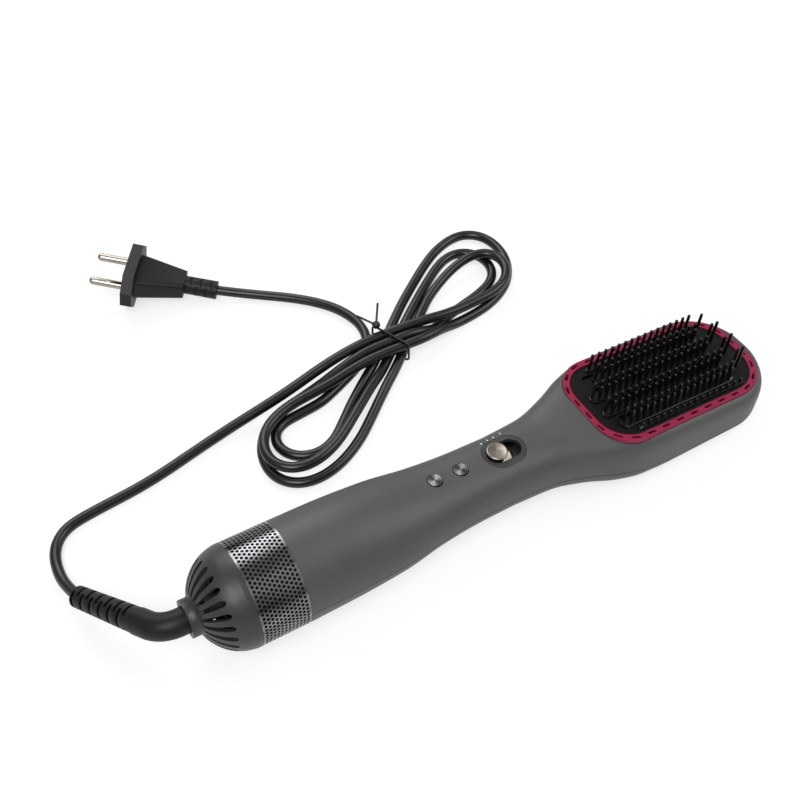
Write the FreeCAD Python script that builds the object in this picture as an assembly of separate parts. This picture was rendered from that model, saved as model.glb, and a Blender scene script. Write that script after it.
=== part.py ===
import FreeCAD, Part
import math
import os

# A hot-air straightening brush with its mains lead, as separate pieces, in millimetres.
# The brush pieces are drawn in the tool frame: X along the barrel towards the head, X zero at the
# seam of cap and screen, Z up through the bristles. lay() then tips the brush on to its back, so it
# rests on the table as it is used for a photo. The lead lies on the table and is drawn there.

Vector = FreeCAD.Vector
ALONG = Vector(1, 0, 0)
ACROSS = Vector(0, 1, 0)
UP = Vector(0, 0, 1)

# Fits used everywhere
OVERRUN = 1.0
FIT = 0.15
RUN_GAP = 0.3
SHAFT_GAP = 0.05
WALL = 2.2

# Barrel, handle and head
BARREL_RADIUS = 24.0
SCREEN_LENGTH = 22.8
HANDLE_LENGTH = 112.2
HEAD_REACH = 124.8
NECK_HALF_WIDTH = 17.1
NECK_TOP = 16.0
NECK_DEPTH = 15.0
HEAD_HALF_WIDTH = 31.9
HEAD_DEPTH = 13.1
TIP_RADIUS = 26.0
DECK_HEIGHT = 16.4
DECK_PITCH = 2.0
DECK_FORWARD = 96.4

# Shares of the handle: along, width, top and back, then the powers of the two half ovals
HANDLE_SHARES = (
    (0.0, 1.0, 1.0, 1.0, 2.0, 2.0),
    (0.2, 0.99, 0.93, 0.775, 2.0, 2.0),
    (0.42, 0.85, 0.58, 0.42, 2.1, 2.05),
    (0.64, 0.34, 0.19, 0.055, 2.3, 2.1),
    (0.82, 0.08, 0.04, 0.0, 2.5, 2.15),
    (1.0, 0.0, 0.0, 0.0, 2.6, 2.2),
)
# Shares of the head: along, width, top of the deck height, back of the resting depth, powers
HEAD_SHARES = (
    (0.0, 0.0, 0.81, 0.828, 2.6, 2.2),
    (0.16, 0.075, 0.84, 0.84, 2.8, 2.3),
    (0.3, 0.38, 0.945, 0.885, 3.3, 2.6),
    (0.417, 0.76, 1.01, 0.97, 4.2, 3.0),
    (0.52, 0.95, 1.03, 1.03, 5.0, 3.2),
    (0.665, 1.0, 1.03, 1.03, 5.5, 3.4),
    (0.84, 1.0, 1.03, 1.03, 5.5, 3.4),
    (1.0, 1.0, 1.03, 1.03, 5.5, 3.4),
)
# Shares of the tip: angle round its corner in degrees, top, back, powers
TIP_SHARES = (
    (0.0, 1.03, 1.03, 5.5, 3.4),
    (22.0, 1.03, 1.02, 5.5, 3.4),
    (42.0, 1.03, 0.98, 5.5, 3.2),
    (58.0, 1.02, 0.9, 5.0, 3.0),
    (70.0, 1.0, 0.8, 4.5, 2.8),
    (80.0, 0.96, 0.68, 4.0, 2.6),
    (87.0, 0.9, 0.58, 3.6, 2.6),
)
SECTION_POINTS = 40
STATIONS = 9
# Shares of the case seam: along the body from screen to tip, drop below the axis
SEAM_SHARES = ((0.0, 0.02), (0.37, 0.11), (0.6, 0.15), (0.73, 0.3), (0.86, 0.35), (1.0, 0.35))

# Rear cap, screen and cage
CAP_BULGE = 22.0
COLLAR_RADIUS = 8.7
COLLAR_LENGTH = 4.0
SWIVEL_BORE = 6.4
CAP_SEAT = 2.2
SLOT_COUNT = 22
SLOT_INNER = 10.0
SLOT_OUTER = 20.1
SLOT_NARROW = 1.2
SLOT_WIDE = 2.8
SCREEN_WALL = 0.8
CAGE_WALL = 1.6
CAGE_LIP = 4.2
CAGE_LIP_WALL = 1.0
CAGE_WINDOWS = 6
CAGE_RIB = 12.0
CAGE_RIM = 3.0
CAGE_END = 3.0
HUB_RADIUS = 6.0
HUB_THICK = 2.0
SPOKE_WIDTH = 2.4
CONTACT_RADIUS = 5.0

# Fan, motor and heater
MOUNT_START = 5.7
MOUNT_FLANGE = 2.0
MOUNT_RADIUS = 20.4
MOUNT_WALL = 1.0
MOUNT_LENGTH = 9.5
MOUNT_SPOKES = 6
SPOKE_THICK = 2.0
SLEEVE_WALL = 1.4
MOTOR_RADIUS = 12.0
MOTOR_LENGTH = 25.0
BUSH_RADIUS = 3.2
BUSH_LENGTH = 2.4
SHAFT_RADIUS = 1.0
SHAFT_STUB = 1.4
FAN_HUB_RADIUS = 7.0
FAN_LENGTH = 6.0
FAN_RADIUS = 18.8
FAN_BLADES = 7
BLADE_THICK = 1.2
BLADE_CHORD = 7.0
BLADE_PITCH = 38.0
HEATER_RADIUS = 11.4
HEATER_WALL = 0.6
HEATER_LENGTH = 26.0
FORMER_HALF = 9.2
FORMER_THICK = 0.8
COIL_WIRE = 0.4
COIL_INSET = 3.0
COIL_TURNS = 8
THERMOSTAT_SIZE = (9.0, 5.0, 3.0)
FUSE_RADIUS = 1.6
FUSE_LENGTH = 11.0

# Controls on the neck and the board under them
BUTTON_FORWARD = 75.4
BUTTON_STEP = 13.9
BUTTON_RADIUS = 3.8
BUTTON_PROUD = 0.6
BUTTON_FLANGE = 4.8
BUTTON_FLANGE_DEPTH = 3.0
BUTTON_FLANGE_THICK = 1.2
BUTTON_STEM = 1.6
BUTTON_TRAVEL = 0.8
BUTTON_GAP = 0.35
STEM_ENTRY = 1.2
BOARD_REAR = 69.5
BOARD_LENGTH = 58.0
BOARD_HALF_WIDTH = 11.0
BOARD_LOW = 6.4
BOARD_THICK = 1.6
SWITCH_SIDE = 6.2
SWITCH_HEIGHT = 3.0
DIVIDER_THICK = 1.0
DIVIDER_LENGTH = 68.0
STANDOFF_RADIUS = 1.6
STANDOFF_HEIGHT = 2.0
STANDOFF_INSET = 3.0
BEZEL_FORWARD = 113.2
BEZEL_HALF_LENGTH = 11.0
BEZEL_HALF_WIDTH = 8.4
SLOT_HALF_LENGTH = 9.0
SLOT_HALF_WIDTH = 5.3
KNOB_RADIUS = 4.5
KNOB_PROUD = 2.2
SLIDE_TRAVEL = 8.0
CARRIAGE_DEPTH = 3.1
CARRIAGE_THICK = 1.1
CARRIAGE_REAR = 5.2
CARRIAGE_FRONT = 7.6
CARRIAGE_HALF_WIDTH = 6.2
SLIDE_POST = 1.2
SLIDE_POST_ENTRY = 1.8
SLIDE_SWITCH_LENGTH = 21.0
SLIDE_SWITCH_WIDTH = 7.0

# Bristle tray in the deck
TRAY_HALF_LENGTH = 50.7
TRAY_HALF_WIDTH = 27.6
TRAY_NECK_RADIUS = 19.0
TRAY_TIP_RADIUS = 22.2
TRAY_FIT = 0.2
RING_BAND = 3.5
RING_THICK = 2.4
RING_SLOTS = 30
RING_SLOT_LENGTH = 4.6
RING_SLOT_WIDTH = 1.3
PLATE_DROP = 0.8
PLATE_LEDGE = 3.0
FRAME_THICK = 2.0
FRAME_INSET = 0.6
FRAME_POST = 3.0
FRAME_POST_FORWARD = 25.0
FRAME_POST_ASIDE = 23.6
BAR_RAISE = 1.0
BAR_MARGIN = 1.3
BAR_END = 2.0
FLANGE_MARGIN = 0.45
FLANGE_THICK = 1.1
PIN_RADIUS = 0.8
PIN_PITCH = 4.18
PIN_ROW_GAP = 2.55
PIN_TALL = 10.5
PIN_SECOND = 9.4
PIN_STUB = 3.0
PIN_GUARD = 13.5
# Each strip: first row's share of the tray's half width, first pin's share of its half length,
# number of pins, and the pin height of each row; a second row stands half a pitch further on
STRIP_SHARES = {
    "strip_far": (0.754, -0.592, 16, (PIN_TALL,)),
    "strip_outer_far": (0.529, -0.611, 16, (PIN_TALL, PIN_SECOND)),
    "strip_inner_far": (0.177, -0.797, 18, (PIN_TALL, PIN_SECOND)),
    "strip_inner_near": (-0.189, -0.797, 18, (PIN_TALL, PIN_SECOND)),
    "strip_outer_near": (-0.529, -0.724, 17, (PIN_TALL, PIN_SECOND)),
    "strip_near": (-0.757, -0.592, 16, (PIN_STUB,)),
}
# Pins of the tip comb and lanes between the strips, as shares of the tray's half length and half width
GUARD_SHARES = (
    (0.714, 0.594),
    (0.714, 0.312),
    (0.781, 0.304),
    (0.714, -0.054),
    (0.793, -0.054),
    (0.714, -0.406),
    (0.777, -0.406),
)
GUARD_BAR_HALF = 1.6
LANE_SHARES = (0.641, 0.312, -0.053, -0.406)
LANE_SLOT_LENGTH = 7.0
LANE_SLOT_WIDTH = 1.8
LANE_SLOT_STEP = 11.0
LANE_SLOT_COUNT = 6

# Case screws: forward of the screen as shares of the handle, aside and seat level as shares of the barrel
SCREW_SHARES = ((0.554, 0.65, 0.25), (1.196, 0.475, 0.3))
SCREW_BOSS = 3.4
SCREW_HEAD = 2.3
SCREW_HEAD_THICK = 1.6
SCREW_SHANK = 1.1
SCREW_REACH = 14.0
SCREW_HOLE = 1.35
SCREW_PILOT = 1.2
SCREW_RECESS = 2.5

# Inner supply leads, in the tool frame, one side; the other is its mirror
WIRE_RADIUS = 0.55
WIRE_NOTCH = 1.5
WIRE_ROUTE = (
    (-9.0, 5.0, 0.0),
    (-9.0, 10.5, 0.0),
    (-3.5, 18.0, 0.0),
    (6.0, 19.4, 0.0),
    (20.0, 19.6, 0.0),
    (30.0, 21.05, 0.0),
    (42.0, 20.9, 0.5),
    (55.0, 18.4, 4.4),
    (68.0, 14.2, 9.0),
    (80.0, 9.6, 11.6),
    (88.0, 8.2, 10.4),
    (95.5, 7.6, 8.62),
)

# Swivelling strain relief
SWIVEL_FLANGE = 8.2
SWIVEL_FLANGE_THICK = 1.6
JOURNAL_RADIUS = 6.1
ELBOW_OUT = 10.5
ELBOW_RADIUS = 13.0
RELIEF_START_RADIUS = 5.9
RELIEF_END_RADIUS = 5.0
RELIEF_SLOTS = 12
RELIEF_SLOT_WIDTH = 1.5
RELIEF_SLOT_CORE = 2.9
RELIEF_PLAIN = 6.0

# The lead on the table, in the laid frame
CORD_DIAMETER = 5.4
RELIEF_END = (-189.0, 45.6, 8.6)
LEAD_ROUTE = (
    (-191.6, 55.4, 5.2),
    (-192.2, 65.6, 3.2),
    (-190.6, 75.5, 2.75),
    (-186.4, 82.9, 2.75),
    (-179.2, 87.8, 2.75),
    (-167.0, 89.6, 2.75),
    (-137.4, 91.6, 2.75),
    (-106.0, 99.8, 2.75),
    (-88.0, 105.9, 3.4),
)
TAIL_ROUTE = (
    (-41.2, 92.6, 3.4),
    (-31.5, 96.6, 2.75),
    (-23.0, 100.2, 2.75),
    (-13.5, 104.4, 2.75),
    (-5.2, 110.2, 2.75),
    (1.0, 118.0, 2.75),
    (3.8, 126.5, 2.75),
    (3.6, 136.0, 2.75),
    (-0.6, 148.0, 2.75),
    (-8.0, 158.5, 2.75),
    (-18.5, 169.0, 2.75),
    (-31.6, 179.4, 2.75),
    (-42.6, 187.2, 3.6),
)
PLUG_AT = (-52.3, 193.4, 5.3)
PLUG_HEADING = 144.7
PLUG_TILT = 10.5
ROUND_SHARE = 0.45
GAP_STEP = 1.5

# Hank of crossed loops round two folds
HANK_WAIST = (9.7, 105.7)
HANK_HEADING = 23.5
HANK_HALF = 100.0
HANK_TURNS = 3
HANK_PITCH = 5.9
HANK_FOLD = 14.0
HANK_CLEAR = 0.55
HANK_TOP_WEST = 44.0
HANK_TOP_EAST = 34.5
HANK_RAMP = 22.0

# Tie round the waist of the hank
TIE_DIAMETER = 1.2
TIE_GAP = 0.15
TIE_CORNER = 2.5
TIE_SOUTH = 10.4
TIE_NORTH = 13.4
KNOT_RADIUS = 2.2
TIE_TAIL = 12.0
TIE_TAIL_WAYS = ((0.5, 0.7, 0.5), (-0.7, 0.5, 0.5))

# Plug, drawn along X from the cord
PLUG_RELIEF = 18.0
PLUG_RELIEF_THIN = 5.1
PLUG_RELIEF_THICK = 5.0
PLUG_SLOTS = 6
PLUG_SLOT_WIDTH = 1.5
PLUG_SLOT_CORE = 3.6
PLUG_BODY = 25.7
PLUG_BODY_REAR = (14.4, 10.8)
PLUG_BODY_FRONT = (24.4, 13.4)
PLUG_BODY_ROUND = 3.0
PLUG_FLANGE = 6.0
PLUG_FLANGE_WIDTH = 40.0
PLUG_FLANGE_HEIGHT = 24.0
PLUG_CHAMFER = 7.6
PIN_LENGTH = 19.0
PIN_SPREAD = 19.0
PLUG_PIN_RADIUS = 2.2
PIN_ROOT = 4.0
PIN_ROOT_RADIUS = 1.8
PIN_STAND = 0.4

# Places worked out from the sizes
BODY_START = SCREEN_LENGTH
NECK = BODY_START + HANDLE_LENGTH
TIP_CENTRE = NECK + HEAD_REACH
TIP = TIP_CENTRE + TIP_RADIUS
DECK_MIDDLE = NECK + DECK_FORWARD
TILT = math.degrees(math.atan((BARREL_RADIUS - HEAD_DEPTH) / (DECK_MIDDLE - BODY_START)))
BOARD_TOP = BOARD_LOW + BOARD_THICK
SWITCH_TOP = BOARD_TOP + SWITCH_HEIGHT
CORD_RADIUS = CORD_DIAMETER / 2
FAR = 3 * BARREL_RADIUS


def rod(radius, rear, front, y=0, z=0):
    """A round bar along X."""
    return Part.makeCylinder(radius, front - rear, Vector(rear, y, z), ALONG)


def sleeve(outer, inner, rear, front):
    """A tube along X."""
    return rod(outer, rear, front).cut(rod(inner, rear - OVERRUN, front + OVERRUN))


def post(radius, x, y, low, high):
    """A round post along Z."""
    return Part.makeCylinder(radius, high - low, Vector(x, y, low), UP)


def block(x0, x1, y0, y1, z0, z1):
    """A plain block between two corners."""
    return Part.makeBox(x1 - x0, y1 - y0, z1 - z0, Vector(x0, y0, z0))


def oval(x, half_length, half_width, low, high):
    """An upright bar with round ends, long along X."""
    reach = half_length - half_width
    rear = post(half_width, x - reach, 0, low, high)
    front = post(half_width, x + reach, 0, low, high)
    return block(x - reach, x + reach, -half_width, half_width, low, high).fuse([rear, front]).removeSplitter()


def prism(corners, depth):
    """A side view in X and Z, as thick as depth, centred on the middle line."""
    points = [Vector(x, -depth / 2, z) for x, z in corners]
    face = Part.Face(Part.makePolygon(points + points[:1]))
    return face.extrude(ACROSS * depth) if depth else face


def deck_at(x):
    """Height of the deck plane over the axis."""
    return DECK_HEIGHT - math.tan(math.radians(DECK_PITCH)) * (x - DECK_MIDDLE)


def rest_at(x):
    """Depth of the table under the axis."""
    return BARREL_RADIUS - math.tan(math.radians(TILT)) * (x - BODY_START)


def section(x, half_width, top, back, top_power, back_power):
    """One closed cross section of the body: two half ovals that meet at the sides."""
    points = []
    for i in range(SECTION_POINTS):
        angle = 2 * math.pi * i / SECTION_POINTS
        side = math.cos(angle)
        rise = math.sin(angle)
        power = top_power if rise >= 0 else back_power
        height = top if rise >= 0 else back
        reach = (abs(side) ** power + abs(rise) ** power) ** (-1 / power)
        points.append(Vector(x, half_width * side * reach, height * rise * reach))
    curve = Part.BSplineCurve()
    curve.interpolate(points, PeriodicFlag=True)
    return Part.Wire([curve.toShape()])


def blended(table, along):
    """A row of a share table at any place along it, smooth and without overshoot."""
    last = len(table) - 1
    slopes = []
    for i in range(last):
        step = table[i + 1][0] - table[i][0]
        slopes.append([(b - a) / step for a, b in zip(table[i], table[i + 1])])
    i = max(k for k in range(last) if table[k][0] <= along)
    step = table[i + 1][0] - table[i][0]
    t = (along - table[i][0]) / step
    row = []
    for column in range(1, len(table[0])):
        here = slopes[i][column]
        before = slopes[max(i - 1, 0)][column]
        after = slopes[min(i + 1, last - 1)][column]
        start = 2 * before * here / (before + here) if before * here > 0 else 0
        finish = 2 * here * after / (here + after) if here * after > 0 else 0
        low = table[i][column]
        high = table[i + 1][column]
        rise = (3 - 2 * t) * t * t
        row.append(low + (high - low) * rise + step * (t * (1 - t) ** 2 * start - t * t * (1 - t) * finish))
    return row


def body_form(gap):
    """The body's form drawn in by gap, from the screen to the tip."""
    wires = []
    if gap:
        ring = BARREL_RADIUS - gap
        wires.append(section(BODY_START - OVERRUN, ring, ring, ring, 2, 2))
    for i in range(STATIONS + 1):
        along = i / STATIONS
        wide, high, deep, top_power, back_power = blended(HANDLE_SHARES, along)
        x = BODY_START + along * HANDLE_LENGTH
        half_width = NECK_HALF_WIDTH + wide * (BARREL_RADIUS - NECK_HALF_WIDTH)
        top = NECK_TOP + high * (BARREL_RADIUS - NECK_TOP)
        back = NECK_DEPTH + deep * (BARREL_RADIUS - NECK_DEPTH)
        wires.append(section(x, half_width - gap, top - gap, back - gap, top_power, back_power))
    for i in range(1, STATIONS):
        along = i / STATIONS
        wide, high, deep, top_power, back_power = blended(HEAD_SHARES, along)
        x = NECK + along * HEAD_REACH
        half_width = NECK_HALF_WIDTH + wide * (HEAD_HALF_WIDTH - NECK_HALF_WIDTH)
        top = high * deck_at(x)
        back = deep * rest_at(x)
        wires.append(section(x, half_width - gap, top - gap, back - gap, top_power, back_power))
    for degrees, high, deep, top_power, back_power in TIP_SHARES:
        angle = math.radians(degrees)
        x = TIP_CENTRE + (TIP_RADIUS - gap) * math.sin(angle)
        half_width = HEAD_HALF_WIDTH - TIP_RADIUS + (TIP_RADIUS - gap) * math.cos(angle)
        top = high * deck_at(x) - gap
        back = deep * rest_at(x) - gap
        wires.append(section(x, half_width, top, back, top_power, back_power))
    form = Part.makeLoft(wires, True, False)
    rear = NECK + HEAD_SHARES[1][0] * HEAD_REACH
    front = TIP + OVERRUN
    above = prism(((rear, deck_at(rear) - gap), (front, deck_at(front) - gap), (front, FAR), (rear, FAR)), 2 * FAR)
    below = prism(((rear, gap - rest_at(rear)), (front, gap - rest_at(front)), (front, -FAR), (rear, -FAR)), 2 * FAR)
    return form.cut(above).cut(below)


def seam_tool():
    """Everything below the seam of the case."""
    length = TIP - BODY_START
    points = []
    for along, drop in SEAM_SHARES:
        points.append(Vector(BODY_START + along * length, -FAR, -drop * BARREL_RADIUS))
    points[0] = Vector(BODY_START - OVERRUN, -FAR, points[0].z)
    points[-1] = Vector(TIP + OVERRUN, -FAR, points[-1].z)
    curve = Part.BSplineCurve()
    curve.interpolate(points)
    low_front = Vector(points[-1].x, -FAR, -FAR)
    low_rear = Vector(points[0].x, -FAR, -FAR)
    sides = [
        curve.toShape(),
        Part.makeLine(points[-1], low_front),
        Part.makeLine(low_front, low_rear),
        Part.makeLine(low_rear, points[0]),
    ]
    return Part.Face(Part.Wire(sides)).extrude(ACROSS * 2 * FAR)


def top_of(body, x):
    """Height of the body's top on the middle line."""
    return body.common(Part.makeLine(Vector(x, 0, 0), Vector(x, 0, FAR))).BoundBox.ZMax


def on_deck(shape):
    """Move a shape drawn on the deck's own plane to the deck."""
    deck = FreeCAD.Placement(Vector(DECK_MIDDLE, 0, DECK_HEIGHT), FreeCAD.Rotation(ACROSS, DECK_PITCH))
    shape.Placement = deck.multiply(shape.Placement)
    return shape


def tray_wire(inset, z):
    """Outline of the bristle tray, drawn in by inset: straight sides and four round corners."""
    length = TRAY_HALF_LENGTH - inset
    width = TRAY_HALF_WIDTH - inset
    tip = TRAY_TIP_RADIUS - inset
    neck = TRAY_NECK_RADIUS - inset
    diagonal = math.sqrt(0.5)
    edges = []
    start = Vector(length, -width + tip, z)
    here = start
    for sign_x, sign_y, radius in ((1, 1, tip), (-1, 1, neck), (-1, -1, neck), (1, -1, tip)):
        centre = Vector(sign_x * (length - radius), sign_y * (width - radius), z)
        side_x = centre + Vector(sign_x * radius, 0, 0)
        side_y = centre + Vector(0, sign_y * radius, 0)
        first, last = (side_x, side_y) if sign_x == sign_y else (side_y, side_x)
        middle = centre + Vector(sign_x, sign_y, 0) * (radius * diagonal)
        edges.append(Part.makeLine(here, first))
        edges.append(Part.Arc(first, middle, last).toShape())
        here = last
    if here.distanceToPoint(start) > FIT:
        edges.append(Part.makeLine(here, start))
    return Part.Wire(edges)


def tray_slab(inset, low, high):
    """A slab with the tray's outline."""
    return Part.Face(tray_wire(inset, low)).extrude(UP * (high - low))


def bristle(x, y, low, tip):
    """One round pin with a rounded tip."""
    shoulder = tip - PIN_RADIUS
    stem = post(PIN_RADIUS, x, y, low, shoulder)
    return stem.fuse(Part.makeSphere(PIN_RADIUS, Vector(x, y, shoulder)))


def strip_bounds(rows):
    """Reach of a strip's bar: first and last X, low and high Y."""
    firsts = [first for y, first, count, height in rows]
    lasts = [first + (count - 1) * PIN_PITCH for y, first, count, height in rows]
    ys = [y for y, first, count, height in rows]
    return min(firsts) - BAR_END, max(lasts) + BAR_END, min(ys) - BAR_MARGIN, max(ys) + BAR_MARGIN


def bar(x0, x1, y0, y1, low, high):
    """A bar with round ends between two corners."""
    shape = oval(0, (x1 - x0) / 2, (y1 - y0) / 2, low, high)
    shape.translate(Vector((x0 + x1) / 2, (y0 + y1) / 2, 0))
    return shape


def rows_of(name):
    """The rows of a strip: distance from the middle line, first pin, number of pins and their height."""
    aside, first, count, heights = STRIP_SHARES[name]
    rows = []
    for i, height in enumerate(heights):
        y = aside * TRAY_HALF_WIDTH - i * PIN_ROW_GAP
        x = first * TRAY_HALF_LENGTH + i * PIN_PITCH / 2
        rows.append((y, x, count - i, height))
    return rows


def guard_spots():
    """Places of the tip comb's pins on the deck."""
    return [(along * TRAY_HALF_LENGTH, aside * TRAY_HALF_WIDTH) for along, aside in GUARD_SHARES]


def screw_spots():
    """Places of the case screws: along, aside on both sides, and the level of their seats."""
    spots = []
    for forward, aside, seat in SCREW_SHARES:
        for side in (1, -1):
            x = BODY_START + forward * HANDLE_LENGTH
            spots.append((x, side * aside * BARREL_RADIUS, -seat * BARREL_RADIUS))
    return spots


def strip_shape(rows):
    """A moulded strip: a flange under the plate, a bar through it and its pins."""
    x0, x1, y0, y1 = strip_bounds(rows)
    under = -RING_THICK
    flange = bar(x0 - FLANGE_MARGIN, x1 + FLANGE_MARGIN, y0 - FLANGE_MARGIN, y1 + FLANGE_MARGIN, under - FLANGE_THICK, under)
    top = BAR_RAISE - PLATE_DROP
    body = flange.fuse(bar(x0, x1, y0, y1, under - FLANGE_THICK, top))
    pins = []
    for y, first, count, height in rows:
        for i in range(count):
            pins.append(bristle(first + i * PIN_PITCH, y, under, height))
    return body.fuse(pins).removeSplitter()


def guard_shape():
    """The tip comb: a bar under the plate with tall pins that stand in the lanes."""
    under = -RING_THICK
    xs = [x for x, y in guard_spots()]
    ys = [y for x, y in guard_spots()]
    low = under - FLANGE_THICK
    x0 = min(xs) - GUARD_BAR_HALF
    x1 = max(xs) + GUARD_BAR_HALF
    body = block(x0, x1, min(ys) - GUARD_BAR_HALF, max(ys) + GUARD_BAR_HALF, low, under)
    body = body.common(tray_slab(RING_BAND + PLATE_LEDGE + FIT, low - OVERRUN, OVERRUN))
    pins = [bristle(x, y, low, PIN_GUARD) for x, y in guard_spots()]
    return body.fuse(pins).removeSplitter()


def corner_radius(before, corner, after):
    """Radius of the arc that rounds a corner of a route, and how far it reaches along the runs."""
    back = before - corner
    ahead = after - corner
    turn = math.pi - back.getAngle(ahead)
    reach = ROUND_SHARE * min(back.Length, ahead.Length)
    return reach / math.tan(turn / 2), reach, turn


def route_wire(points, label):
    """Straight runs joined by tangent arcs; says the least radius and the length."""
    edges = []
    here = points[0]
    radii = []
    for i in range(1, len(points) - 1):
        corner = points[i]
        radius, reach, turn = corner_radius(points[i - 1], corner, points[i + 1])
        back = (points[i - 1] - corner).normalize()
        ahead = (points[i + 1] - corner).normalize()
        first = corner + back * reach
        last = corner + ahead * reach
        bisector = (back + ahead).normalize()
        middle = corner + bisector * (radius / math.cos(turn / 2) - radius)
        edges.append(Part.LineSegment(here, first).toShape())
        edges.append(Part.Arc(first, middle, last).toShape())
        here = last
        radii.append(radius)
    edges.append(Part.LineSegment(here, points[-1]).toShape())
    wire = Part.Wire(edges)
    print(label, "radii", [round(r, 1) for r in radii], "length", round(wire.Length, 1))
    return wire


def swept(wire, radius):
    """A round tube along a wire."""
    edge = wire.Edges[0]
    start = edge.valueAt(edge.FirstParameter)
    ahead = edge.tangentAt(edge.FirstParameter)
    ring = Part.Wire([Part.makeCircle(radius, start, ahead)])
    shape = wire.makePipeShell([ring], True, False)
    print("  volume share of section times length", round(shape.Volume / (math.pi * radius ** 2 * wire.Length), 4))
    return shape


def hank_point(u, v, z):
    """A point of the hank's own frame, U along it and V to its left, in the laid frame."""
    angle = math.radians(HANK_HEADING)
    x = HANK_WAIST[0] + u * math.cos(angle) - v * math.sin(angle)
    y = HANK_WAIST[1] + u * math.sin(angle) + v * math.cos(angle)
    return Vector(x, y, z)


def hank_sizes():
    """Fold radii of the upper and lower loops, turn by turn, and half the distance of the folds."""
    upper = [HANK_FOLD + HANK_PITCH * i for i in range(HANK_TURNS)]
    lower = [HANK_FOLD + HANK_PITCH * (HANK_TURNS - 1 - i) for i in range(HANK_TURNS)]
    reach = HANK_HALF - max(upper) - CORD_RADIUS
    return upper, lower, reach


def run_frame(low_radius, high_radius, reach, east):
    """A straight run that crosses between the folds: its middle, its direction and half its length."""
    lean = math.asin((low_radius + high_radius) / (2 * reach))
    if east:
        ahead = (math.cos(lean), -math.sin(lean))
        left = (math.sin(lean), math.cos(lean))
        offset = (low_radius - high_radius) / 2
    else:
        ahead = (-math.cos(lean), -math.sin(lean))
        left = (-math.sin(lean), math.cos(lean))
        offset = (high_radius - low_radius) / 2
    middle = (left[0] * offset, left[1] * offset)
    return middle, ahead, reach * math.cos(lean), lean


def ramp_edges(start, ahead, length, rise):
    """Two arcs in an upright plane that climb by rise along a run."""
    half = length / 2
    lift = abs(rise) / 2
    radius = (half ** 2 + lift ** 2) / (2 * lift)
    turn = math.asin(half / radius) / 2
    sign = 1 if rise > 0 else -1
    near = ahead * (radius * math.sin(turn)) + UP * (sign * radius * (1 - math.cos(turn)))
    middle = start + ahead * half + UP * (sign * lift)
    last = start + ahead * length + UP * rise
    return [Part.Arc(start, start + near, middle).toShape(), Part.Arc(middle, last - near, last).toShape()], last


def fold_edges(centre, start, sweep):
    """Three arcs round a fold, from start through the angle sweep."""
    edges = []
    arm = start - centre
    points = []
    for i in range(7):
        turn = FreeCAD.Rotation(UP, math.degrees(sweep) * i / 6)
        points.append(centre + turn.multVec(arm))
    for i in (0, 2, 4):
        edges.append(Part.Arc(points[i], points[i + 1], points[i + 2]).toShape())
    return edges, points[-1]


def hank_edges():
    """The hank's middle line: crossed loops round two folds, one pitch apart, over at each eastward run."""
    upper, lower, reach = hank_sizes()
    base = CORD_RADIUS + TIE_DIAMETER + TIE_GAP
    rise = CORD_DIAMETER + HANK_CLEAR
    edges = []
    before = [lower[0] + HANK_PITCH] + lower
    here = None
    for turn in range(HANK_TURNS):
        middle, ahead, half, lean = run_frame(before[turn], upper[turn], reach, True)
        spot = lambda s: hank_point(middle[0] + ahead[0] * s, middle[1] + ahead[1] * s, base)
        way = (spot(1) - spot(0)).normalize()
        first = -half - (CORD_DIAMETER if turn == 0 else 0)
        here = spot(first)
        foot = spot(-HANK_TOP_WEST - HANK_RAMP)
        edges.append(Part.LineSegment(here, foot).toShape())
        climb, here = ramp_edges(foot, way, HANK_RAMP, rise)
        edges += climb
        crest = spot(HANK_TOP_EAST) + UP * rise
        edges.append(Part.LineSegment(here, crest).toShape())
        drop, here = ramp_edges(crest, way, HANK_RAMP, -rise)
        edges += drop
        edges.append(Part.LineSegment(here, spot(half)).toShape())
        back_middle, back, back_half, back_lean = run_frame(lower[turn], upper[turn], reach, False)
        fold, here = fold_edges(hank_point(reach, 0, base), spot(half), math.pi + lean + back_lean)
        edges += fold
        spot = lambda s: hank_point(back_middle[0] + back[0] * s, back_middle[1] + back[1] * s, base)
        edges.append(Part.LineSegment(here, spot(back_half)).toShape())
        after = run_frame(lower[turn], upper[turn] + HANK_PITCH, reach, True)
        fold, here = fold_edges(hank_point(-reach, 0, base), spot(back_half), -(math.pi + back_lean + after[3]))
        edges += fold
    out = after[1]
    end = here + (hank_point(out[0], out[1], 0) - hank_point(0, 0, 0)) * CORD_DIAMETER
    edges.append(Part.LineSegment(here, end).toShape())
    return edges


def self_gap(edges):
    """Least clear distance of a tube to itself, measured on points a millimetre or two apart."""
    points = []
    along = []
    total = 0
    for edge in edges:
        count = max(3, int(edge.Length / GAP_STEP))
        for i, p in enumerate(edge.discretize(count)):
            points.append(p)
            along.append(total + edge.Length * i / (count - 1))
        total += edge.Length
    least = FAR
    for i, p in enumerate(points):
        for j in range(i + 1, len(points)):
            if along[j] - along[i] > 3 * CORD_DIAMETER:
                least = min(least, p.distanceToPoint(points[j]))
    return least - CORD_DIAMETER


nodes = {}

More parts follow.
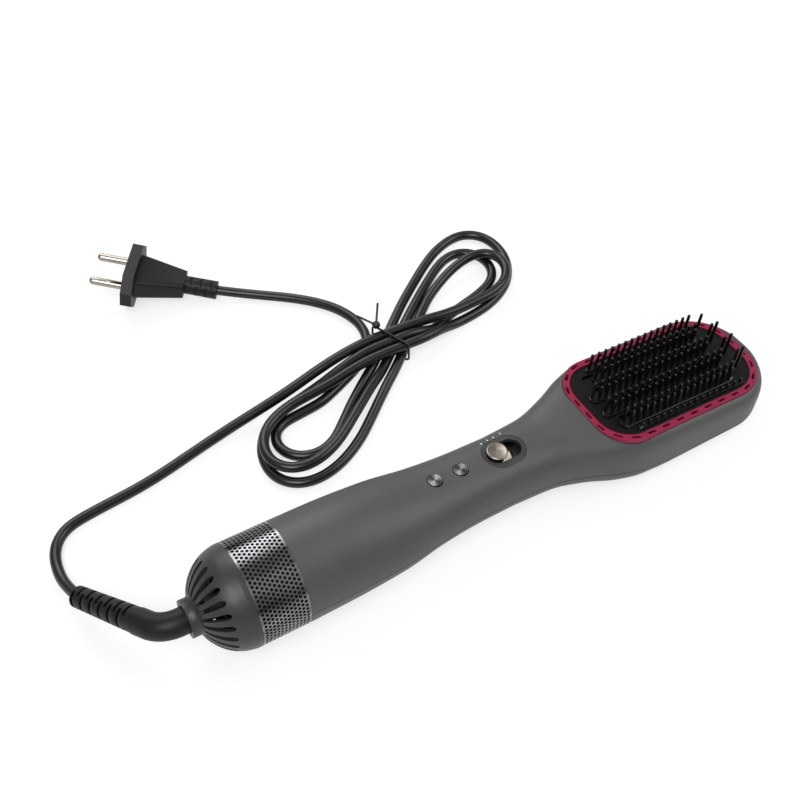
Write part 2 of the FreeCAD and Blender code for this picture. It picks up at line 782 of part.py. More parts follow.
# Case
form = body_form(0)
hollow = body_form(WALL)
snug = body_form(WALL - FIT)
loose = body_form(WALL + FIT)
case = form.cut(hollow)
opening = on_deck(tray_slab(-TRAY_FIT, -RING_THICK - OVERRUN, OVERRUN))
case = case.cut(opening)
bezel_x = BODY_START + BEZEL_FORWARD
bezel_top = top_of(form, bezel_x)
button_xs = [BODY_START + BUTTON_FORWARD, BODY_START + BUTTON_FORWARD + BUTTON_STEP]
button_tops = [top_of(form, x) for x in button_xs]
for x in button_xs:
    case = case.cut(post(BUTTON_RADIUS + BUTTON_GAP, x, 0, 0, FAR))
case = case.cut(oval(bezel_x, BEZEL_HALF_LENGTH + FIT, BEZEL_HALF_WIDTH + FIT, 0, FAR))
seam = seam_tool()
upper_shell = case.cut(seam)
back_cover = case.common(seam)
screws = []
for x, y, seat in screw_spots():
    boss = post(SCREW_BOSS, x, y, -FAR, FAR).common(snug)
    upper_shell = upper_shell.fuse(boss.cut(seam))
    back_cover = back_cover.fuse(boss.common(seam))
    hole = post(SCREW_HOLE, x, y, -FAR, 0)
    recess = post(SCREW_RECESS, x, y, -FAR, seat)
    back_cover = back_cover.cut(hole.fuse(recess))
    upper_shell = upper_shell.cut(post(SCREW_PILOT, x, y, -FAR, seat + SCREW_REACH + FIT))
    shank = post(SCREW_SHANK, x, y, seat, seat + SCREW_REACH - OVERRUN)
    screws.append(shank.fuse(post(SCREW_HEAD, x, y, seat - SCREW_HEAD_THICK, seat)))
nodes["upper_shell"] = upper_shell
nodes["back_cover"] = back_cover
nodes["case_screws"] = Part.makeCompound(screws)

# Slide bezel, cut from the same skin
bezel = form.common(oval(bezel_x, BEZEL_HALF_LENGTH, BEZEL_HALF_WIDTH, 0, FAR)).cut(hollow)
bezel = bezel.cut(oval(bezel_x, SLOT_HALF_LENGTH, SLOT_HALF_WIDTH, 0, FAR))
nodes["slide_bezel"] = bezel

# Rear cap
def cap_solid(bulge, radius):
    """A round cap, a quarter of an oval turned about the axis."""
    points = []
    for i in range(13):
        angle = math.pi / 2 * i / 12
        points.append(Vector(-bulge * math.cos(angle), 0, radius * math.sin(angle)))
    curve = Part.BSplineCurve()
    curve.interpolate(points, InitialTangent=Vector(0, 0, 1), FinalTangent=Vector(1, 0, 0))
    sides = [curve.toShape(), Part.makeLine(points[-1], Vector(0, 0, 0)), Part.makeLine(Vector(0, 0, 0), points[0])]
    return Part.Face(Part.Wire(sides)).revolve(Vector(0, 0, 0), ALONG, 360)


collar_x = -CAP_BULGE * math.sqrt(1 - (COLLAR_RADIUS / BARREL_RADIUS) ** 2)
seat_x = -(CAP_BULGE - WALL) + CAP_SEAT
cap = cap_solid(CAP_BULGE, BARREL_RADIUS).cut(rod(COLLAR_RADIUS, -CAP_BULGE - OVERRUN, collar_x))
cap = cap.cut(cap_solid(CAP_BULGE - WALL, BARREL_RADIUS - WALL))
collar_end = collar_x - COLLAR_LENGTH
cap = cap.fuse(rod(COLLAR_RADIUS, collar_end, seat_x))
cap = cap.cut(rod(SWIVEL_BORE, collar_end - OVERRUN, seat_x + OVERRUN))
slot_points = [
    Vector(-FAR, -SLOT_NARROW / 2, SLOT_INNER),
    Vector(-FAR, -SLOT_WIDE / 2, SLOT_OUTER),
    Vector(-FAR, 0, SLOT_OUTER + SLOT_WIDE / 2),
    Vector(-FAR, SLOT_WIDE / 2, SLOT_OUTER),
    Vector(-FAR, SLOT_NARROW / 2, SLOT_INNER),
]
slot_sides = [
    Part.makeLine(slot_points[0], slot_points[1]),
    Part.Arc(slot_points[1], slot_points[2], slot_points[3]).toShape(),
    Part.makeLine(slot_points[3], slot_points[4]),
    Part.makeLine(slot_points[4], slot_points[0]),
]
slot = Part.Face(Part.Wire(slot_sides)).extrude(ALONG * (FAR - WALL))
slots = []
for i in range(SLOT_COUNT):
    copy = slot.copy()
    copy.rotate(Vector(0, 0, 0), ALONG, 360 * i / SLOT_COUNT)
    slots.append(copy)
cap = cap.cut(slots)
nodes["rear_cap"] = cap

# Screen, its cage and the contact block
nodes["inlet_screen"] = sleeve(BARREL_RADIUS, BARREL_RADIUS - SCREEN_WALL, 0, SCREEN_LENGTH)
cage_outer = BARREL_RADIUS - SCREEN_WALL - FIT
cage_inner = cage_outer - CAGE_WALL
lip_inner = BARREL_RADIUS - WALL - FIT - CAGE_LIP_WALL
lip_outer = BARREL_RADIUS - WALL - FIT
lip_end = SCREEN_LENGTH + CAGE_LIP
cage = sleeve(cage_outer, cage_inner, 0, SCREEN_LENGTH)
cage = cage.fuse(sleeve(lip_outer, lip_inner, 0, lip_end))
rear_lip = sleeve(lip_outer, lip_inner, -CAGE_END, 0).common(cap_solid(CAP_BULGE - WALL - FIT, lip_outer))
cage = cage.fuse(rear_lip)
for y in (lip_inner, -lip_inner - WALL):
    cage = cage.cut(block(SCREEN_LENGTH - CAGE_RIM, lip_end + OVERRUN, y - FIT, y + WALL + FIT, -WIRE_NOTCH, WIRE_NOTCH))
step = 360 / CAGE_WINDOWS
rib_angle = math.degrees(CAGE_RIB / cage_inner)
pane = prism(((CAGE_RIM, lip_inner), (SCREEN_LENGTH - CAGE_RIM, lip_inner),
              (SCREEN_LENGTH - CAGE_RIM, BARREL_RADIUS), (CAGE_RIM, BARREL_RADIUS)), 0)
for i in range(CAGE_WINDOWS):
    sector = pane.copy()
    sector.rotate(Vector(0, 0, 0), ALONG, step * i + rib_angle / 2)
    cage = cage.cut(sector.revolve(Vector(0, 0, 0), ALONG, step - rib_angle))
hub = rod(HUB_RADIUS, -CAGE_END, HUB_THICK - CAGE_END)
for i in range(3):
    arm = block(-CAGE_END, HUB_THICK - CAGE_END, -SPOKE_WIDTH / 2, SPOKE_WIDTH / 2, 0, lip_inner + CAGE_LIP_WALL / 2)
    arm.rotate(Vector(0, 0, 0), ALONG, 120 * i)
    hub = hub.fuse(arm)
nodes["screen_cage"] = cage.fuse(hub).removeSplitter()
flange_face = seat_x + RUN_GAP + SWIVEL_FLANGE_THICK
nodes["contact_block"] = rod(CONTACT_RADIUS, flange_face + OVERRUN, -CAGE_END)

# Fan mount with the motor sleeve
mount_x = BODY_START + MOUNT_START
mount_end = mount_x + MOUNT_LENGTH
motor_x = mount_end + RUN_GAP
motor_end = motor_x + MOTOR_LENGTH
sleeve_outer = MOTOR_RADIUS + FIT + SLEEVE_WALL
mount = sleeve(MOUNT_RADIUS, MOUNT_RADIUS - MOUNT_WALL, mount_x, mount_end)
flange = sleeve(lip_outer, MOUNT_RADIUS - MOUNT_WALL, mount_x, mount_x + MOUNT_FLANGE)
mount = mount.fuse(flange.common(loose))
spoke_x = mount_end - SPOKE_THICK
mount = mount.fuse(sleeve(sleeve_outer, MOTOR_RADIUS + FIT, spoke_x, motor_end + RUN_GAP))
for i in range(MOUNT_SPOKES):
    arm = block(spoke_x, mount_end, -SPOKE_THICK / 2, SPOKE_THICK / 2, sleeve_outer - SLEEVE_WALL / 2, MOUNT_RADIUS - MOUNT_WALL / 2)
    arm.rotate(Vector(0, 0, 0), ALONG, 360 * i / MOUNT_SPOKES)
    mount = mount.fuse(arm)
for y in (BARREL_RADIUS - WALL - WIRE_RADIUS, WIRE_RADIUS - BARREL_RADIUS + WALL):
    mount = mount.cut(rod(WIRE_NOTCH, mount_x - OVERRUN, mount_end + OVERRUN, y))
nodes["fan_mount"] = mount.removeSplitter()

# Motor with a bush at each end, shaft and fan
motor = rod(MOTOR_RADIUS, motor_x, motor_end).cut(rod(BUSH_RADIUS, motor_x - OVERRUN, motor_end + OVERRUN))
nodes["motor"] = motor
bushes = []
for rear in (motor_x, motor_end - BUSH_LENGTH):
    bushes.append(sleeve(BUSH_RADIUS, SHAFT_RADIUS + SHAFT_GAP, rear, rear + BUSH_LENGTH))
nodes["motor_bushes"] = Part.makeCompound(bushes)
fan_end = spoke_x - RUN_GAP
fan_x = fan_end - FAN_LENGTH
nodes["motor_shaft"] = rod(SHAFT_RADIUS, fan_x - SHAFT_STUB, motor_end + SHAFT_STUB)
fan = rod(FAN_HUB_RADIUS, fan_x, fan_end)
room = rod(FAN_RADIUS, fan_x, fan_end)
for i in range(FAN_BLADES):
    blade = block(-BLADE_CHORD / 2, BLADE_CHORD / 2, -BLADE_THICK / 2, BLADE_THICK / 2, FAN_HUB_RADIUS - OVERRUN, FAN_RADIUS + OVERRUN)
    blade.rotate(Vector(0, 0, 0), UP, BLADE_PITCH)
    blade.translate(Vector((fan_x + fan_end) / 2, 0, 0))
    blade.rotate(Vector(0, 0, 0), ALONG, 360 * i / FAN_BLADES)
    fan = fan.fuse(blade.common(room))
nodes["fan"] = fan.cut(rod(SHAFT_RADIUS, fan_x - OVERRUN, fan_end + OVERRUN))

# Heater
heater_x = motor_end + 2 * RUN_GAP
heater_end = heater_x + HEATER_LENGTH
nodes["heater_sleeve"] = sleeve(HEATER_RADIUS, HEATER_RADIUS - HEATER_WALL, heater_x, heater_end)
flat = block(heater_x + SHAFT_STUB + RUN_GAP, heater_end, -FORMER_THICK / 2, FORMER_THICK / 2, -FORMER_HALF, FORMER_HALF)
turned = flat.copy()
turned.rotate(Vector(0, 0, 0), ALONG, 90)
nodes["heater_former"] = flat.fuse(turned).removeSplitter()
coil_radius = FORMER_HALF + COIL_WIRE + FIT / 2
coil_length = HEATER_LENGTH - COIL_INSET - 2 * COIL_WIRE - SHAFT_STUB
helix = Part.makeHelix(coil_length / COIL_TURNS, coil_length, coil_radius)
ring = Part.Wire([Part.makeCircle(COIL_WIRE, Vector(coil_radius, 0, 0), ACROSS)])
coil = Part.Wire(helix).makePipeShell([ring], True, True)
coil.rotate(Vector(0, 0, 0), ACROSS, 90)
coil.translate(Vector(heater_x + COIL_INSET, 0, 0))
nodes["heater_coil"] = coil

# Duct divider, board and switches
board_x = BODY_START + BOARD_REAR
board_end = board_x + BOARD_LENGTH
divider_top = BOARD_LOW - STANDOFF_HEIGHT
slab = block(board_x, board_x + DIVIDER_LENGTH, -FAR, FAR, divider_top - DIVIDER_THICK, divider_top)
divider = slab.common(loose)
for x, y, seat in screw_spots():
    divider = divider.cut(post(SCREW_BOSS + FIT, x, y, -FAR, FAR))
inset = BOARD_HALF_WIDTH - STANDOFF_INSET
for x in (board_x + STANDOFF_INSET, board_end - STANDOFF_INSET):
    for y in (inset, -inset):
        divider = divider.fuse(post(STANDOFF_RADIUS, x, y, divider_top - DIVIDER_THICK / 2, BOARD_LOW))
nodes["duct_divider"] = divider.removeSplitter()
nodes["control_board"] = block(board_x, board_end, -BOARD_HALF_WIDTH, BOARD_HALF_WIDTH, BOARD_LOW, BOARD_TOP)
switches = []
stem_low = SWITCH_TOP - STEM_ENTRY
half = SWITCH_SIDE / 2
for x in button_xs:
    body = block(x - half, x + half, -half, half, BOARD_TOP, SWITCH_TOP)
    switches.append(body.cut(post(BUTTON_STEM + RUN_GAP, x, 0, stem_low - BUTTON_TRAVEL - RUN_GAP, FAR)))
nodes["button_switches"] = Part.makeCompound(switches)
knob_x = bezel_x - SLIDE_TRAVEL / 2
half_long = SLIDE_SWITCH_LENGTH / 2
half_wide = SLIDE_SWITCH_WIDTH / 2
slide_switch = block(bezel_x - half_long, bezel_x + half_long, -half_wide, half_wide, BOARD_TOP, SWITCH_TOP)
post_low = SWITCH_TOP - SLIDE_POST_ENTRY
channel_reach = SLIDE_TRAVEL / 2 + SLIDE_POST + 2 * RUN_GAP
slide_switch = slide_switch.cut(oval(bezel_x, channel_reach, SLIDE_POST + RUN_GAP, post_low - RUN_GAP, FAR))
nodes["slide_switch"] = slide_switch

# Thermostat and fuse under the divider
long, wide, thick = THERMOSTAT_SIZE
under = divider_top - DIVIDER_THICK
nodes["thermostat"] = block(heater_end + long, heater_end + 2 * long, -wide / 2, wide / 2, under - thick, under)
fuse_x = heater_end + 3 * long
nodes["thermal_fuse"] = rod(FUSE_RADIUS, fuse_x, fuse_x + FUSE_LENGTH, 0, under - FUSE_RADIUS)

# Buttons and slide
for name, x, top in zip(("button_rear", "button_front"), button_xs, button_tops):
    cap_low = top - BUTTON_FLANGE_DEPTH
    flange_low = cap_low - BUTTON_FLANGE_THICK
    button = post(BUTTON_RADIUS, x, 0, flange_low, top + BUTTON_PROUD)
    button = button.fuse(post(BUTTON_FLANGE, x, 0, flange_low, cap_low))
    nodes[name] = button.fuse(post(BUTTON_STEM, x, 0, stem_low, flange_low)).removeSplitter()
carriage_top = bezel_top - CARRIAGE_DEPTH
carriage_low = carriage_top - CARRIAGE_THICK
carriage = oval(knob_x, CARRIAGE_FRONT, CARRIAGE_HALF_WIDTH, carriage_low, carriage_top)
carriage = carriage.cut(block(knob_x - FAR, knob_x - CARRIAGE_REAR, -FAR, FAR, 0, FAR))
nodes["slide_carriage"] = carriage.fuse(post(SLIDE_POST, knob_x, 0, post_low, carriage_low)).removeSplitter()
nodes["slide_knob"] = post(KNOB_RADIUS, knob_x, 0, carriage_top, bezel_top + KNOB_PROUD)

# Bristle tray
ring = tray_slab(0, -RING_THICK, 0).cut(tray_slab(RING_BAND, -RING_THICK - OVERRUN, OVERRUN))
middle_line = tray_wire(RING_BAND / 2, 0)
spots = middle_line.discretize(RING_SLOTS + 1)
cuts = []
for i in range(RING_SLOTS):
    here = spots[i]
    way = spots[(i + 1) % RING_SLOTS] - spots[i - 1 if i else RING_SLOTS - 1]
    dash = oval(0, RING_SLOT_LENGTH / 2, RING_SLOT_WIDTH / 2, -RING_THICK - OVERRUN, OVERRUN)
    dash.rotate(Vector(0, 0, 0), UP, math.degrees(math.atan2(way.y, way.x)))
    dash.translate(here)
    cuts.append(dash)
nodes["outlet_ring"] = on_deck(ring.cut(cuts))
plate = tray_slab(RING_BAND + FIT, -RING_THICK, -PLATE_DROP)
cuts = []
for name in STRIP_SHARES:
    x0, x1, y0, y1 = strip_bounds(rows_of(name))
    cuts.append(bar(x0 - FIT, x1 + FIT, y0 - FIT, y1 + FIT, -FAR, FAR))
for x, y in guard_spots():
    cuts.append(post(PIN_RADIUS + FIT, x, y, -FAR, FAR))
for aside in LANE_SHARES:
    y = aside * TRAY_HALF_WIDTH
    for i in range(LANE_SLOT_COUNT):
        x = LANE_SLOT_STEP * (i - LANE_SLOT_COUNT / 2)
        cuts.append(bar(x - LANE_SLOT_LENGTH / 2, x + LANE_SLOT_LENGTH / 2, y - LANE_SLOT_WIDTH / 2,
                        y + LANE_SLOT_WIDTH / 2, -FAR, FAR))
nodes["bristle_plate"] = on_deck(plate.cut(cuts))
for name in STRIP_SHARES:
    nodes[name] = on_deck(strip_shape(rows_of(name)))
nodes["tip_comb"] = on_deck(guard_shape())
frame = tray_slab(FRAME_INSET, -RING_THICK - FRAME_THICK, -RING_THICK)
frame = on_deck(frame.cut(tray_slab(RING_BAND + PLATE_LEDGE, -FAR, FAR)))
for sign_x in (1, -1):
    for sign_y in (1, -1):
        x = DECK_MIDDLE + sign_x * FRAME_POST_FORWARD
        y = sign_y * FRAME_POST_ASIDE
        frame = frame.fuse(post(FRAME_POST, x, y, -FAR, deck_at(x) - RING_THICK - FRAME_THICK / 2))
frame = frame.common(loose)
for name in STRIP_SHARES:
    x0, x1, y0, y1 = strip_bounds(rows_of(name))
    edge = FLANGE_MARGIN + FIT
    low = -RING_THICK - FLANGE_THICK - FIT
    frame = frame.cut(on_deck(bar(x0 - edge, x1 + edge, y0 - edge, y1 + edge, low, OVERRUN)))
nodes["deck_frame"] = frame.removeSplitter()

# Inner supply leads
wires = []
for sign in (1, -1):
    points = [Vector(x, sign * y, z) for x, y, z in WIRE_ROUTE]
    wires.append(swept(route_wire(points, "supply lead"), WIRE_RADIUS))
nodes["supply_leads"] = Part.makeCompound(wires)

# Tip the brush on to its back and set the origin on the table under its middle
tip_over = FreeCAD.Placement(Vector(0, 0, 0), FreeCAD.Rotation(ACROSS, TILT))
for shape in nodes.values():
    shape.Placement = tip_over.multiply(shape.Placement)
skin = []
for name in ("rear_cap", "inlet_screen", "upper_shell", "back_cover"):
    skin += nodes[name].tessellate(SHAFT_GAP)[0]
rear_end = min(p.x for p in skin)
front_end = max(p.x for p in skin)
shift = Vector(-(rear_end + front_end) / 2, 0, -min(p.z for p in skin))
for shape in nodes.values():
    shape.translate(shift)


def laid(x, y, z):
    """A point of the tool frame in the laid frame."""
    return tip_over.multVec(Vector(x, y, z)) + shift


def slotted(solid, place, start, length, count, width, core):
    """Pairs of slots across a relief, each pair a quarter turn from the one before."""
    for i in range(count):
        x = start + length * (i + 0.5) / count
        for side in (0, 180):
            notch = block(x - width / 2, x + width / 2, -BARREL_RADIUS, BARREL_RADIUS, core, BARREL_RADIUS)
            notch.rotate(Vector(0, 0, 0), ALONG, side + 90 * (i % 2))
            notch.Placement = place.multiply(notch.Placement)
            solid = solid.cut(notch)
    return solid


# Strain relief that turns in the collar
axis = tip_over.multVec(ALONG)
flange_x = seat_x + RUN_GAP
elbow_corner = laid(collar_end - ELBOW_OUT, 0, 0)
relief_end = Vector(*RELIEF_END)
out = (relief_end - elbow_corner).normalize()
bend = math.pi - (laid(0, 0, 0) - elbow_corner).getAngle(out)
elbow_reach = ELBOW_RADIUS * math.tan(bend / 2)
first = elbow_corner + axis * elbow_reach
last = elbow_corner + out * elbow_reach
bisector = (axis + out).normalize()
middle = elbow_corner + bisector * (ELBOW_RADIUS / math.cos(bend / 2) - ELBOW_RADIUS)
spine = Part.Wire([
    Part.LineSegment(laid(flange_x, 0, 0), first).toShape(),
    Part.Arc(first, middle, last).toShape(),
    Part.LineSegment(last, last + out * RELIEF_PLAIN).toShape(),
])
relief = swept(spine, JOURNAL_RADIUS)
relief = relief.fuse(Part.makeCylinder(SWIVEL_FLANGE, SWIVEL_FLANGE_THICK, laid(flange_x, 0, 0), axis))
cone_start = last + out * (RELIEF_PLAIN / 2)
cone_length = (relief_end - cone_start).Length
cone = Part.makeCone(RELIEF_START_RADIUS, RELIEF_END_RADIUS, cone_length, cone_start, out)
relief = relief.fuse(cone)
ribbed = cone_length - RELIEF_PLAIN
along_relief = FreeCAD.Placement(cone_start, FreeCAD.Rotation(ALONG, out))
nodes["strain_relief"] = slotted(relief, along_relief, RELIEF_PLAIN, ribbed,
                                 RELIEF_SLOTS, RELIEF_SLOT_WIDTH, RELIEF_SLOT_CORE)

# The lead: from the relief to the hank, the hank, and from the hank to the plug
hank = hank_edges()
hank_wire = Part.Wire(hank)
print("hank length", round(hank_wire.Length, 1), "least gap to itself", round(self_gap(hank), 3))
hank_start = hank[0].valueAt(hank[0].FirstParameter)
hank_end = hank[-1].valueAt(hank[-1].LastParameter)
print("hank start", hank_start, "way", hank[0].tangentAt(hank[0].FirstParameter))
print("hank end", hank_end, "way", hank[-1].tangentAt(hank[-1].LastParameter))
nodes["cord_hank"] = swept(hank_wire, CORD_RADIUS)
lead_points = [relief_end] + [Vector(*p) for p in LEAD_ROUTE] + [hank_start]
lead_wire = route_wire(lead_points, "lead")
nodes["cord_lead"] = swept(lead_wire, CORD_RADIUS)
plug_at = Vector(*PLUG_AT)
tail_points = [hank_end] + [Vector(*p) for p in TAIL_ROUTE] + [plug_at]
tail_wire = route_wire(tail_points, "tail")
nodes["cord_tail"] = swept(tail_wire, CORD_RADIUS)
print("cord length", round(lead_wire.Length + hank_wire.Length + tail_wire.Length, 1))

# Tie round the waist
tie_low = TIE_DIAMETER / 2
tie_high = 2 * CORD_DIAMETER + HANK_CLEAR + 1.5 * TIE_DIAMETER + 2 * TIE_GAP
corners = (
    (-TIE_SOUTH, tie_low, 1, 1),
    (TIE_NORTH, tie_low, -1, 1),
    (TIE_NORTH, tie_high, -1, -1),
    (-TIE_SOUTH, tie_high, 1, -1),
)
loop = []
diagonal = TIE_CORNER * (1 - math.sqrt(0.5))
start = hank_point(0, -TIE_SOUTH, tie_low + TIE_CORNER)
here = start
for i, (v, z, in_v, in_z) in enumerate(corners):
    first = hank_point(0, v, z + in_z * TIE_CORNER)
    last = hank_point(0, v + in_v * TIE_CORNER, z)
    if i % 2:
        first, last = last, first
    bend_point = hank_point(0, v + in_v * diagonal, z + in_z * diagonal)
    if here.distanceToPoint(first) > TIE_GAP:
        loop.append(Part.LineSegment(here, first).toShape())
    loop.append(Part.Arc(first, bend_point, last).toShape())
    here = last
loop.append(Part.LineSegment(here, start).toShape())
tie = swept(Part.Wire(loop), TIE_DIAMETER / 2)
knot = hank_point(0, TIE_NORTH - TIE_CORNER, tie_high - TIE_DIAMETER / 4 + KNOT_RADIUS)
tie = tie.fuse(Part.makeSphere(KNOT_RADIUS, knot))
for way in TIE_TAIL_WAYS:
    tie = tie.fuse(Part.makeCylinder(TIE_DIAMETER / 2, TIE_TAIL, knot, Vector(*way)))
nodes["cord_tie"] = tie

# Plug
def box_wire(x, wide, high, corner):
    """A rectangle across X with round corners."""
    half_wide = wide / 2
    half_high = high / 2
    cut = corner * (1 - math.sqrt(0.5))
    edges = []
    rounds = []
    for sign_y, sign_z in ((1, 1), (-1, 1), (-1, -1), (1, -1)):
        on_side = Vector(x, sign_y * half_wide, sign_z * (half_high - corner))
        on_top = Vector(x, sign_y * (half_wide - corner), sign_z * half_high)
        between = Vector(x, sign_y * (half_wide - cut), sign_z * (half_high - cut))
        rounds.append((on_side, between, on_top) if sign_y == sign_z else (on_top, between, on_side))
    for i in range(4):
        edges.append(Part.Arc(*rounds[i]).toShape())
        edges.append(Part.makeLine(rounds[i][2], rounds[(i + 1) % 4][0]))
    return Part.Wire(edges)


body_x = PLUG_RELIEF
flange_plug_x = PLUG_RELIEF + PLUG_BODY
pin_x = flange_plug_x + PLUG_FLANGE
plug = Part.makeCone(PLUG_RELIEF_THIN, PLUG_RELIEF_THICK, PLUG_RELIEF + OVERRUN, Vector(0, 0, 0), ALONG)
plug = slotted(plug, FreeCAD.Placement(), PLUG_SLOT_WIDTH, PLUG_RELIEF - PLUG_SLOT_WIDTH,
               PLUG_SLOTS, PLUG_SLOT_WIDTH, PLUG_SLOT_CORE)
body = Part.makeLoft([
    box_wire(body_x, PLUG_BODY_REAR[0], PLUG_BODY_REAR[1], PLUG_BODY_ROUND),
    box_wire(flange_plug_x, PLUG_BODY_FRONT[0], PLUG_BODY_FRONT[1], PLUG_BODY_ROUND),
], True, True)
half_wide = PLUG_FLANGE_WIDTH / 2
half_high = PLUG_FLANGE_HEIGHT / 2
outline = []
for sign_y, sign_z in ((1, 1), (-1, 1), (-1, -1), (1, -1)):
    side = Vector(flange_plug_x, sign_y * half_wide, sign_z * (half_high - PLUG_CHAMFER))
    top = Vector(flange_plug_x, sign_y * (half_wide - PLUG_CHAMFER), sign_z * half_high)
    outline += [side, top] if sign_y == sign_z else [top, side]
plug_flange = Part.Face(Part.makePolygon(outline + outline[:1])).extrude(ALONG * PLUG_FLANGE)
plug = plug.fuse([body, plug_flange]).removeSplitter()
pins = []
for y in (PIN_SPREAD / 2, -PIN_SPREAD / 2):
    plug = plug.cut(rod(PIN_ROOT_RADIUS, pin_x - PIN_ROOT, pin_x + OVERRUN, y))
    shoulder = pin_x + PIN_LENGTH - PLUG_PIN_RADIUS
    pin = rod(PIN_ROOT_RADIUS, pin_x - PIN_ROOT, pin_x + PIN_STAND, y)
    pin = pin.fuse(rod(PLUG_PIN_RADIUS, pin_x + PIN_STAND, shoulder, y))
    pins.append(pin.fuse(Part.makeSphere(PLUG_PIN_RADIUS, Vector(shoulder, y, 0))).removeSplitter())
nose_up = FreeCAD.Rotation(Vector(0, 1, 0), -PLUG_TILT)
plug_place = FreeCAD.Placement(plug_at, FreeCAD.Rotation(UP, PLUG_HEADING).multiply(nose_up))
plug_pins = Part.makeCompound(pins)
for name, shape in (("plug_body", plug), ("plug_pins", plug_pins)):
    shape.Placement = plug_place
    nodes[name] = shape

# Files and the places the record needs
os.makedirs("parts", exist_ok=True)
for name, shape in nodes.items():
    solids = shape.Solids
    if not shape.isValid():
        print("NOT VALID", name)
    if len(solids) == 1:
        solids[0].exportStep("parts/" + name + ".step")
    else:
        Part.makeCompound(solids).exportStep("parts/" + name + ".step")
    b = shape.BoundBox
    print(name, "solids", len(solids), "volume", round(shape.Volume, 1),
          "box", [round(v, 2) for v in (b.XMin, b.YMin, b.ZMin, b.XMax, b.YMax, b.ZMax)])
print("tilt", round(TILT, 4), "shift", shift)
print("axis", axis, "up", tip_over.multVec(UP))
print("swivel at", laid(collar_end, 0, 0), "fan at", laid(fan_x, 0, 0))
for x, top in zip(button_xs, button_tops):
    print("button at", laid(x, 0, top))
print("slide at", laid(knob_x, 0, bezel_top))
pin_middle = pin_x + (PIN_STAND + PIN_LENGTH - PLUG_PIN_RADIUS) / 2
print("pin middles", [plug_place.multVec(Vector(pin_middle, s * PIN_SPREAD / 2, 0)) for s in (1, -1)])
print("deck middle", laid(DECK_MIDDLE, 0, DECK_HEIGHT))
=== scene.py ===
# %% [markdown]
# # A hot-air straightening brush
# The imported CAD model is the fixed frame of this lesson: it says where every piece is and how it moves.
# Blender adds what the eye wants: smooth skins, a perforated screen, a lead that lies like a lead, and
# finishes that look like the real materials. Everything is in metres, in the frame of the CAD model, and
# lies on a table at a height of zero.

# %% Load the frame
import math

import bmesh
import bpy
from mathutils import Matrix, Vector


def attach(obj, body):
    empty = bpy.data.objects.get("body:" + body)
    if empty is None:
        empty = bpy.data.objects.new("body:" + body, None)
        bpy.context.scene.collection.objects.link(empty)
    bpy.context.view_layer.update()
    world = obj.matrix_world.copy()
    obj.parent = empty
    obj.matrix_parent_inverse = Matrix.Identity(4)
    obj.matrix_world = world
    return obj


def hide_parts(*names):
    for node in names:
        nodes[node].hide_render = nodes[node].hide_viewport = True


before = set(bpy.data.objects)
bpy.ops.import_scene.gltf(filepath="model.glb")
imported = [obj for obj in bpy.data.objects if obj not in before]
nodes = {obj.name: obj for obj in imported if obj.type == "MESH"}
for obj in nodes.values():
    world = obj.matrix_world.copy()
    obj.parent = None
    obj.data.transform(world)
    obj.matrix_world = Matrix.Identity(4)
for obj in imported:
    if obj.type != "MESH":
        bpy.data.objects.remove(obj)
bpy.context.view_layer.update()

# %% [markdown]
# The brush lies on its back, tipped by about three degrees, so its sizes are easier to write in its own tool
# frame: millimetres, X along the barrel, X zero at the seam of cap and screen, Z up through the bristles.
# One matrix lays that frame on the table, and a second one stands on the deck, the slightly pitched face
# that holds the bristles.

# %% The tool frame and the deck frame
BARREL_RADIUS = 24.0
BODY_START = 22.8
DECK_MIDDLE = 231.4
DECK_HEIGHT = 16.4
DECK_PITCH = 2.0
HEAD_DEPTH = 13.1
TILT = math.atan((BARREL_RADIUS - HEAD_DEPTH) / (DECK_MIDDLE - BODY_START))
MM = 0.001
SHIFT = Vector((-130.5656, 0.0, 25.15705)) * MM
LAY = Matrix.Translation(SHIFT) @ Matrix.Rotation(TILT, 4, "Y") @ Matrix.Scale(MM, 4)
DECK_TURN = Matrix.Rotation(math.radians(DECK_PITCH), 4, "Y")
DECK = LAY @ Matrix.Translation((DECK_MIDDLE, 0, DECK_HEIGHT)) @ DECK_TURN
print("deck middle on the table", [round(v, 4) for v in DECK.translation])

# %% [markdown]
# Two helpers serve every finish. Colours are written as the hex values that a paint program shows and turned
# to linear light, and one function adds a node to a material with its settings and its links.

# %% Colour and node helpers
def linear(hex_colour):
    """An sRGB hex colour as linear red, green, blue and alpha."""
    channels = [int(hex_colour[i:i + 2], 16) / 255 for i in (1, 3, 5)]
    return tuple(c / 12.92 if c <= 0.04045 else ((c + 0.055) / 1.055) ** 2.4 for c in channels) + (1.0,)


def add(tree, kind, settings=None, links=None):
    """Add one node, set its sockets or fields, and link its inputs to other nodes' outputs."""
    node = tree.nodes.new(kind)
    for key, value in (settings or {}).items():
        if isinstance(key, str) and hasattr(node, key):
            setattr(node, key, value)
        else:
            node.inputs[key].default_value = value
    for key, source in (links or {}).items():
        tree.links.new(source, node.inputs[key])
    return node


def start_material(name, settings):
    """A new material with its shader set up; the patterns are linked afterwards."""
    material = bpy.data.materials.new(name)
    material.use_nodes = True
    tree = material.node_tree
    shader = tree.nodes["Principled BSDF"]
    for key, value in settings.items():
        shader.inputs[key].default_value = value
    place = add(tree, "ShaderNodeTexCoord")
    return material, tree, shader, place.outputs["Object"]


# %% [markdown]
# Most of the brush is moulded plastic. A mould is spark-eroded, which leaves a fine pebble grain, so the
# light spreads softly and the colour is never quite even. The grain is about a third of a millimetre on the
# real part. It is drawn three times as coarse here, because finer would not show at this distance. A slow,
# wide noise shifts colour and roughness a little, as handling does.

# %% Moulded plastics
HANDLING_MM = 22
GRAIN_STRENGTH = 0.35


